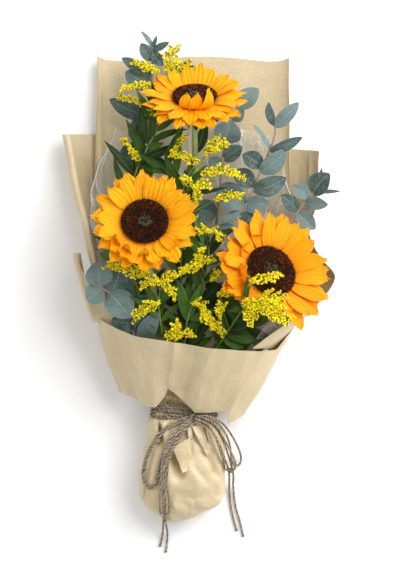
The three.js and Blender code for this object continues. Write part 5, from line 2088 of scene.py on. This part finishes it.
# -------------------- jute twine
LEFT_LOOP = metres((
    (-12, -151, 67), (-38, -164, 68), (-54, -182, 66), (-62.5, -202, 62), (-65.5, -218, 58),
    (-64.2, -229.2, 57), (-58, -235.8, 58), (-51.3, -232, 61), (-47.4, -218, 65), (-41, -196, 69),
    (-30, -174, 70), (-12, -155, 69),
))
LEFT_TAIL_A = metres((
    (-9, -153, 70), (-28.5, -172, 74), (-39.5, -194, 75), (-43.2, -221, 69), (-43, -250, 61),
    (-43, -268, 49), (-43, -282, 30), (-43, -291, 10), (-44, -300, 3), (-46, -309, 2),
))
LEFT_TAIL_B = metres((
    (-7, -156, 70), (-24, -174.5, 72), (-34.8, -196.5, 72), (-38.5, -224, 68), (-38, -250, 61),
    (-38, -268, 49), (-37.5, -282, 30), (-37, -292, 10), (-37.5, -303, 3), (-39, -316, 2),
))
LONG_LOOP_END = metres((
    (-45.7, -248, 63), (-45.7, -257, 59), (-45.7, -265, 53.2), (-44.1, -267.8, 50.6), (-40.3, -269, 49.6),
    (-36.5, -267.8, 50.6), (-34.9, -265, 53.2), (-34.9, -257, 59), (-34.9, -248, 63),
))
RIGHT_TAIL_A = metres((
    (-4, -153, 68), (14, -164, 68), (24, -180, 66), (31, -198, 58), (37, -216, 38), (38, -228, 17),
    (38, -240, 5), (40, -262, 2.4), (44, -280, 2), (47, -290, 2),
))
RIGHT_LONG_LOOP = metres((
    (-4, -152, 71), (12, -160, 71.5), (21, -176, 69.5), (27.5, -194, 63), (31, -204, 54),
    (32, -211.5, 47.2), (33.9, -214.8, 43.9), (38.5, -216.1, 42.6), (43.1, -214.8, 43.9),
    (45, -211.5, 47.2), (44, -203, 53.5), (39, -191.5, 61.8), (31, -176, 69), (20, -159, 72),
    (0, -149, 71.5),
))
RIGHT_TAIL_B = metres((
    (-2, -149, 69), (18, -160, 69), (29, -176, 66), (36, -195, 57), (41, -212, 38), (43, -224, 18),
    (43, -238, 5), (46, -262, 2.4), (51, -280, 2), (55, -297, 2),
))
RIGHT_LOOP = metres((
    (-2, -150, 68), (14, -150, 67), (28, -157, 61), (38, -169, 47), (46, -183, 30), (50.5, -194, 15),
    (52.5, -203.5, 6.8), (50, -210.5, 4), (44.5, -211.2, 4.4), (41, -204, 9), (39.8, -194, 19),
    (37, -180, 36), (30, -166, 52), (20, -156, 62), (6, -152, 68),
))


@dataclass
class Twine:
    """The jute twine: the band round the neck, the knot, and the bow's loops and tails."""

    diameter: float = STRAND
    loop_gap: float = 0.0025
    long_loop_side: float = 0.0012
    long_loop_end: float = -0.236  # along Y
    bow_knot: Point = (0.0046, 0.0029)  # a knot's radius and its strand's diameter
    middle_knot: Point = (0.0026, 0.0020)
    end_knot: Point = (0.0011, 0.0017)
    band_strand: float = 0.0023
    pitch: float = 0.0080
    plies: int = 2
    turns: int = 8
    half_width: float = 0.0390
    half_height: float = 0.0262
    squareness: float = 0.72
    knot_place: Point = (-0.007, -0.152, 0.065)

    def mould(self, moulder: Moulder, route: Route, diameter: float, closed: bool = False) -> None:
        """Adds a length of twisted twine to a piece.

        Args:
            moulder: the piece.
            route: the twine's centre line.
            diameter: its diameter.
            closed: whether its end meets its start.
        """
        twists = max(1, round(route.length / self.pitch))
        phase = route.length * 9973 % 1.0

        def crown(u: float, v: float) -> float:
            """1 on the crown of a ply and 0 between plies."""
            uneven = 0.35 * math.sin(5 * TAU * (v + phase)) + 0.2 * math.sin(13 * TAU * v)
            return abs(math.cos(math.pi * self.plies * (u - twists * v - uneven + phase)))

        def radius(u: float, v: float) -> float:
            """The twine's radius."""
            loose = 0.05 * math.sin(v * route.length * 900) * math.sin(v * route.length * 370 + 1)
            return diameter / 2 * (0.82 + 0.32 * crown(u, v) ** 0.8 + loose)

        rows = max(10, round(route.length / 0.0009))
        # the tone paints highlight on the crowns of the plies and shade between them
        moulder.tube(route, radius, 12, rows, 0, lambda u, v: crown(u, v) ** 1.5, closed)

    def build_band(self) -> Piece:
        """The turns of twine round the neck.

        Returns:
            The piece.
        """
        band = Moulder(Finish.JUTE)
        rng = random.Random(SEED + 70)
        for turn in range(self.turns):
            middle = NECK_Y - 0.0005 + (turn - (self.turns - 1) / 2) * 0.0021
            slant, phase = rng.uniform(-0.0044, 0.0016), rng.uniform(0, TAU)
            points = []
            for k in range(49):
                angle = TAU * k / 48 - math.pi / 2
                c, s = math.cos(angle), math.sin(angle)
                y = middle + (slant * c + 0.0008 * math.sin(2 * angle + phase)) * smooth(-0.4, 0.6, s)
                out = 0.0011 * (turn % 2) + 0.006 * smooth(NECK_Y - 0.004, NECK_Y - 0.020, y)
                x = NECK_X + (self.half_width + out) * math.copysign(abs(c) ** self.squareness, c)
                z = NECK_Z + (self.half_height + out) * math.copysign(abs(s) ** self.squareness, s)
                points.append((x, y, z))
            self.mould(band, Route(points), self.band_strand, True)
        return band.piece("twine_turns", "jute_twine", "twine_band")

    def knot(self, name: str, place: Point, size: float, strand: float, *nodes: str) -> Piece:
        """A knot of a few tight turns.

        Args:
            name: the piece's name.
            place: its middle.
            size: the radius of its turns.
            strand: the twine's diameter.
            nodes: the construction's pieces that it stands for.

        Returns:
            The knot.
        """
        knot = Moulder(Finish.JUTE)
        middle = Vector(place)
        tilts = ((0.3, 0.2, 0.4), (1.2, 0.5, 1.1), (1.5, -0.6, 2.2), (0.7, 1.1, 0.2))
        for k, tilt in enumerate(tilts):
            right, up = Vector((1, 0, 0)), Vector((0, 1, 0))
            for axis, angle in zip(("X", "Y", "Z"), tilt):
                for arm in (right, up):
                    arm.rotate(Matrix.Rotation(angle, 3, axis))
            reach = size * (0.82 + 0.06 * k)
            angles = [TAU * j / 16 for j in range(17)]
            ring = [middle + (right * math.cos(a) + up * math.sin(a)) * reach for a in angles]
            self.mould(knot, Route(ring), strand, True)
        return knot.piece(name, "jute_twine", *nodes)

    def strand(
        self, name: str, points: Sequence[Point], far_end: str, nodes: list[str], with_pieces: Sequence = ()
    ) -> Piece:
        """A free length of twine.

        Args:
            name: the piece's name.
            points: the way it lies.
            far_end: what its far end is; not used.
            nodes: the construction's pieces that it stands for.
            with_pieces: the pieces on it, such as its end knot; not used.

        Returns:
            The strand.
        """
        route = Route(points)
        moulder = Moulder(Finish.JUTE)
        self.mould(moulder, route, self.diameter)
        made = moulder.piece(name, "jute_twine", *nodes)
        count = max(24, round(route.length / 0.004))
        path = [route.at(k / count) for k in range(count + 1)]
        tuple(path[0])
        LOG.info("%s: %.0f mm long", name, 1000 * route.length)
        return made

    def build_free(self) -> None:
        """The bow's loops and tails."""
        loop = Route(LEFT_LOOP)
        self.strand("left_loop_outer", loop.beside(-self.loop_gap / 2), "object", ["twine_left_loop"])
        self.strand("left_loop_inner", loop.beside(self.loop_gap / 2), "object", ["twine_left_loop"])
        tail_a, tail_b = Route(LEFT_TAIL_A), Route(LEFT_TAIL_B)
        down = [p for p in tail_a.beside(-self.long_loop_side) if p.y > self.long_loop_end]
        back = [p for p in tail_b.beside(self.long_loop_side) if p.y > self.long_loop_end]
        long_loop = [*down, *LONG_LOOP_END, *reversed(back)]
        self.strand("left_long_loop", long_loop, "object", ["twine_left_tail_a", "twine_left_tail_b"])
        self.build_tails("left", self.eased(tail_a, 0.0013), self.eased(tail_b, -0.0013))
        self.build_tails("right", RIGHT_TAIL_A, RIGHT_TAIL_B)
        on_a = Route(RIGHT_TAIL_A).nearest((0.038, -0.217))
        on_b = Route(RIGHT_TAIL_B).nearest((0.042, -0.215))
        self.knot("right_middle_knot", on_a.lerp(on_b, 0.5), *self.middle_knot, "twine_right_tail_a")
        self.strand("right_loop", RIGHT_LOOP, "object", ["twine_right_loop"])
        both = ["twine_right_tail_a", "twine_right_tail_b"]
        self.strand("right_long_loop", RIGHT_LONG_LOOP, "object", both)

    def build_tails(self, side: str, *tails: Sequence[Point]) -> None:
        """The two tails of a side, each with the knot at its end."""
        ends = [self.knot(f"{side}_end_knot_{k}", tail[-1], *self.end_knot) for k, tail in zip("ab", tails)]
        for k, tail, end in zip("ab", tails, ends):
            self.strand(f"{side}_tail_{k}", tail, "knot", [f"twine_{side}_tail_{k}"], [end])

    @staticmethod
    def eased(route: Route, side: float) -> list[Vector]:
        """A route moved sideways, back on its own line at its far end."""
        points = route.beside(side)
        for k, point in enumerate(points):
            share = k / (len(points) - 1)
            points[k] = point.lerp(route.at(share), smooth(0.7, 0.95, share))
        return points

    def build(self) -> None:
        """Builds the band, the knot and the free lengths."""
        self.build_band()
        self.knot("bow_knot", self.knot_place, *self.bow_knot, "twine_knot")
        self.build_free()


# -------------------- the setting
@dataclass
class Setting:
    """The camera straight above the bunch, the floor and the lights."""

    frame_height: float = 0.684  # what the photograph's long side takes in
    middle: Point = (0.0024, 0.0084, 0.080)
    distance: float = 5.0
    sensor: float = 36.0
    floor_level: float = -0.0003
    world_strength: float = 0.64

    def build_camera(self) -> None:
        """The camera."""
        lens = bpy.data.cameras.new("camera")
        lens.sensor_width = self.sensor
        lens.lens = self.sensor * self.distance / self.frame_height
        lens.clip_end = 50
        camera = linked("camera", lens)
        x, y, z = self.middle
        camera.location = (x, y, z + self.distance)
        bpy.context.scene.camera = camera

    def build_floor(self) -> None:
        """The pale floor."""
        mesh = bpy.data.meshes.new("floor")
        plate = bmesh.new()
        bmesh.ops.create_grid(plate, x_segments=1, y_segments=1, size=4)
        plate.to_mesh(mesh)
        plate.free()
        mesh.materials.append(Palette.of(Finish.FLOOR))
        floor = linked("floor", mesh)
        floor.location.z = self.floor_level

    def build_light(self, name: str, place: Point, size: float, power: float) -> None:
        """An area light that faces the bunch.

        Args:
            name, place: its name and where it is.
            size: its side.
            power: its power in watts.
        """
        lamp = bpy.data.lights.new(name, "AREA")
        lamp.shape = "SQUARE"
        lamp.size = size
        lamp.energy = power
        light = linked(name, lamp)
        light.location = place
        light.rotation_euler = (Vector(place) - Vector((0, 0, 0.05))).to_track_quat("Z", "Y").to_euler()

    def build(self) -> None:
        """Sets the whole scene."""
        self.build_camera()
        self.build_floor()
        self.build_light("key", (1.5, 1.1, 1.8), 2.4, 86)
        self.build_light("fill", (-1.4, -0.4, 1.8), 1.6, 5)
        world = bpy.data.worlds.new("studio")
        world.use_nodes = True
        world.node_tree.nodes["Background"].inputs["Color"].default_value = (1, 1, 1, 1)
        world.node_tree.nodes["Background"].inputs["Strength"].default_value = self.world_strength
        bpy.context.scene.world = world
        bpy.context.scene.view_settings.view_transform = "Standard"


def main() -> None:
    """Builds the bunch, piece by piece."""
    logging.basicConfig(level=logging.INFO, format="%(name)s: %(message)s")
    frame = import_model()
    noise.seed_set(SEED)
    LOG.info("the frame holds %d pieces", len(frame["nodes"]))
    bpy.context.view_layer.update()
    Setting().build()
    Twine().build()
    Wrapping().build()
    for flower in SUNFLOWERS:
        flower.build()
    for k, spray in enumerate(EUCALYPTUS_SPRAYS):
        Eucalyptus(spray, 10 + k).build()
    for k, spray in enumerate(GOLDENROD_SPRAYS):
        Goldenrod(spray, 30 + k).build()


if __name__ == "__main__":
    main()
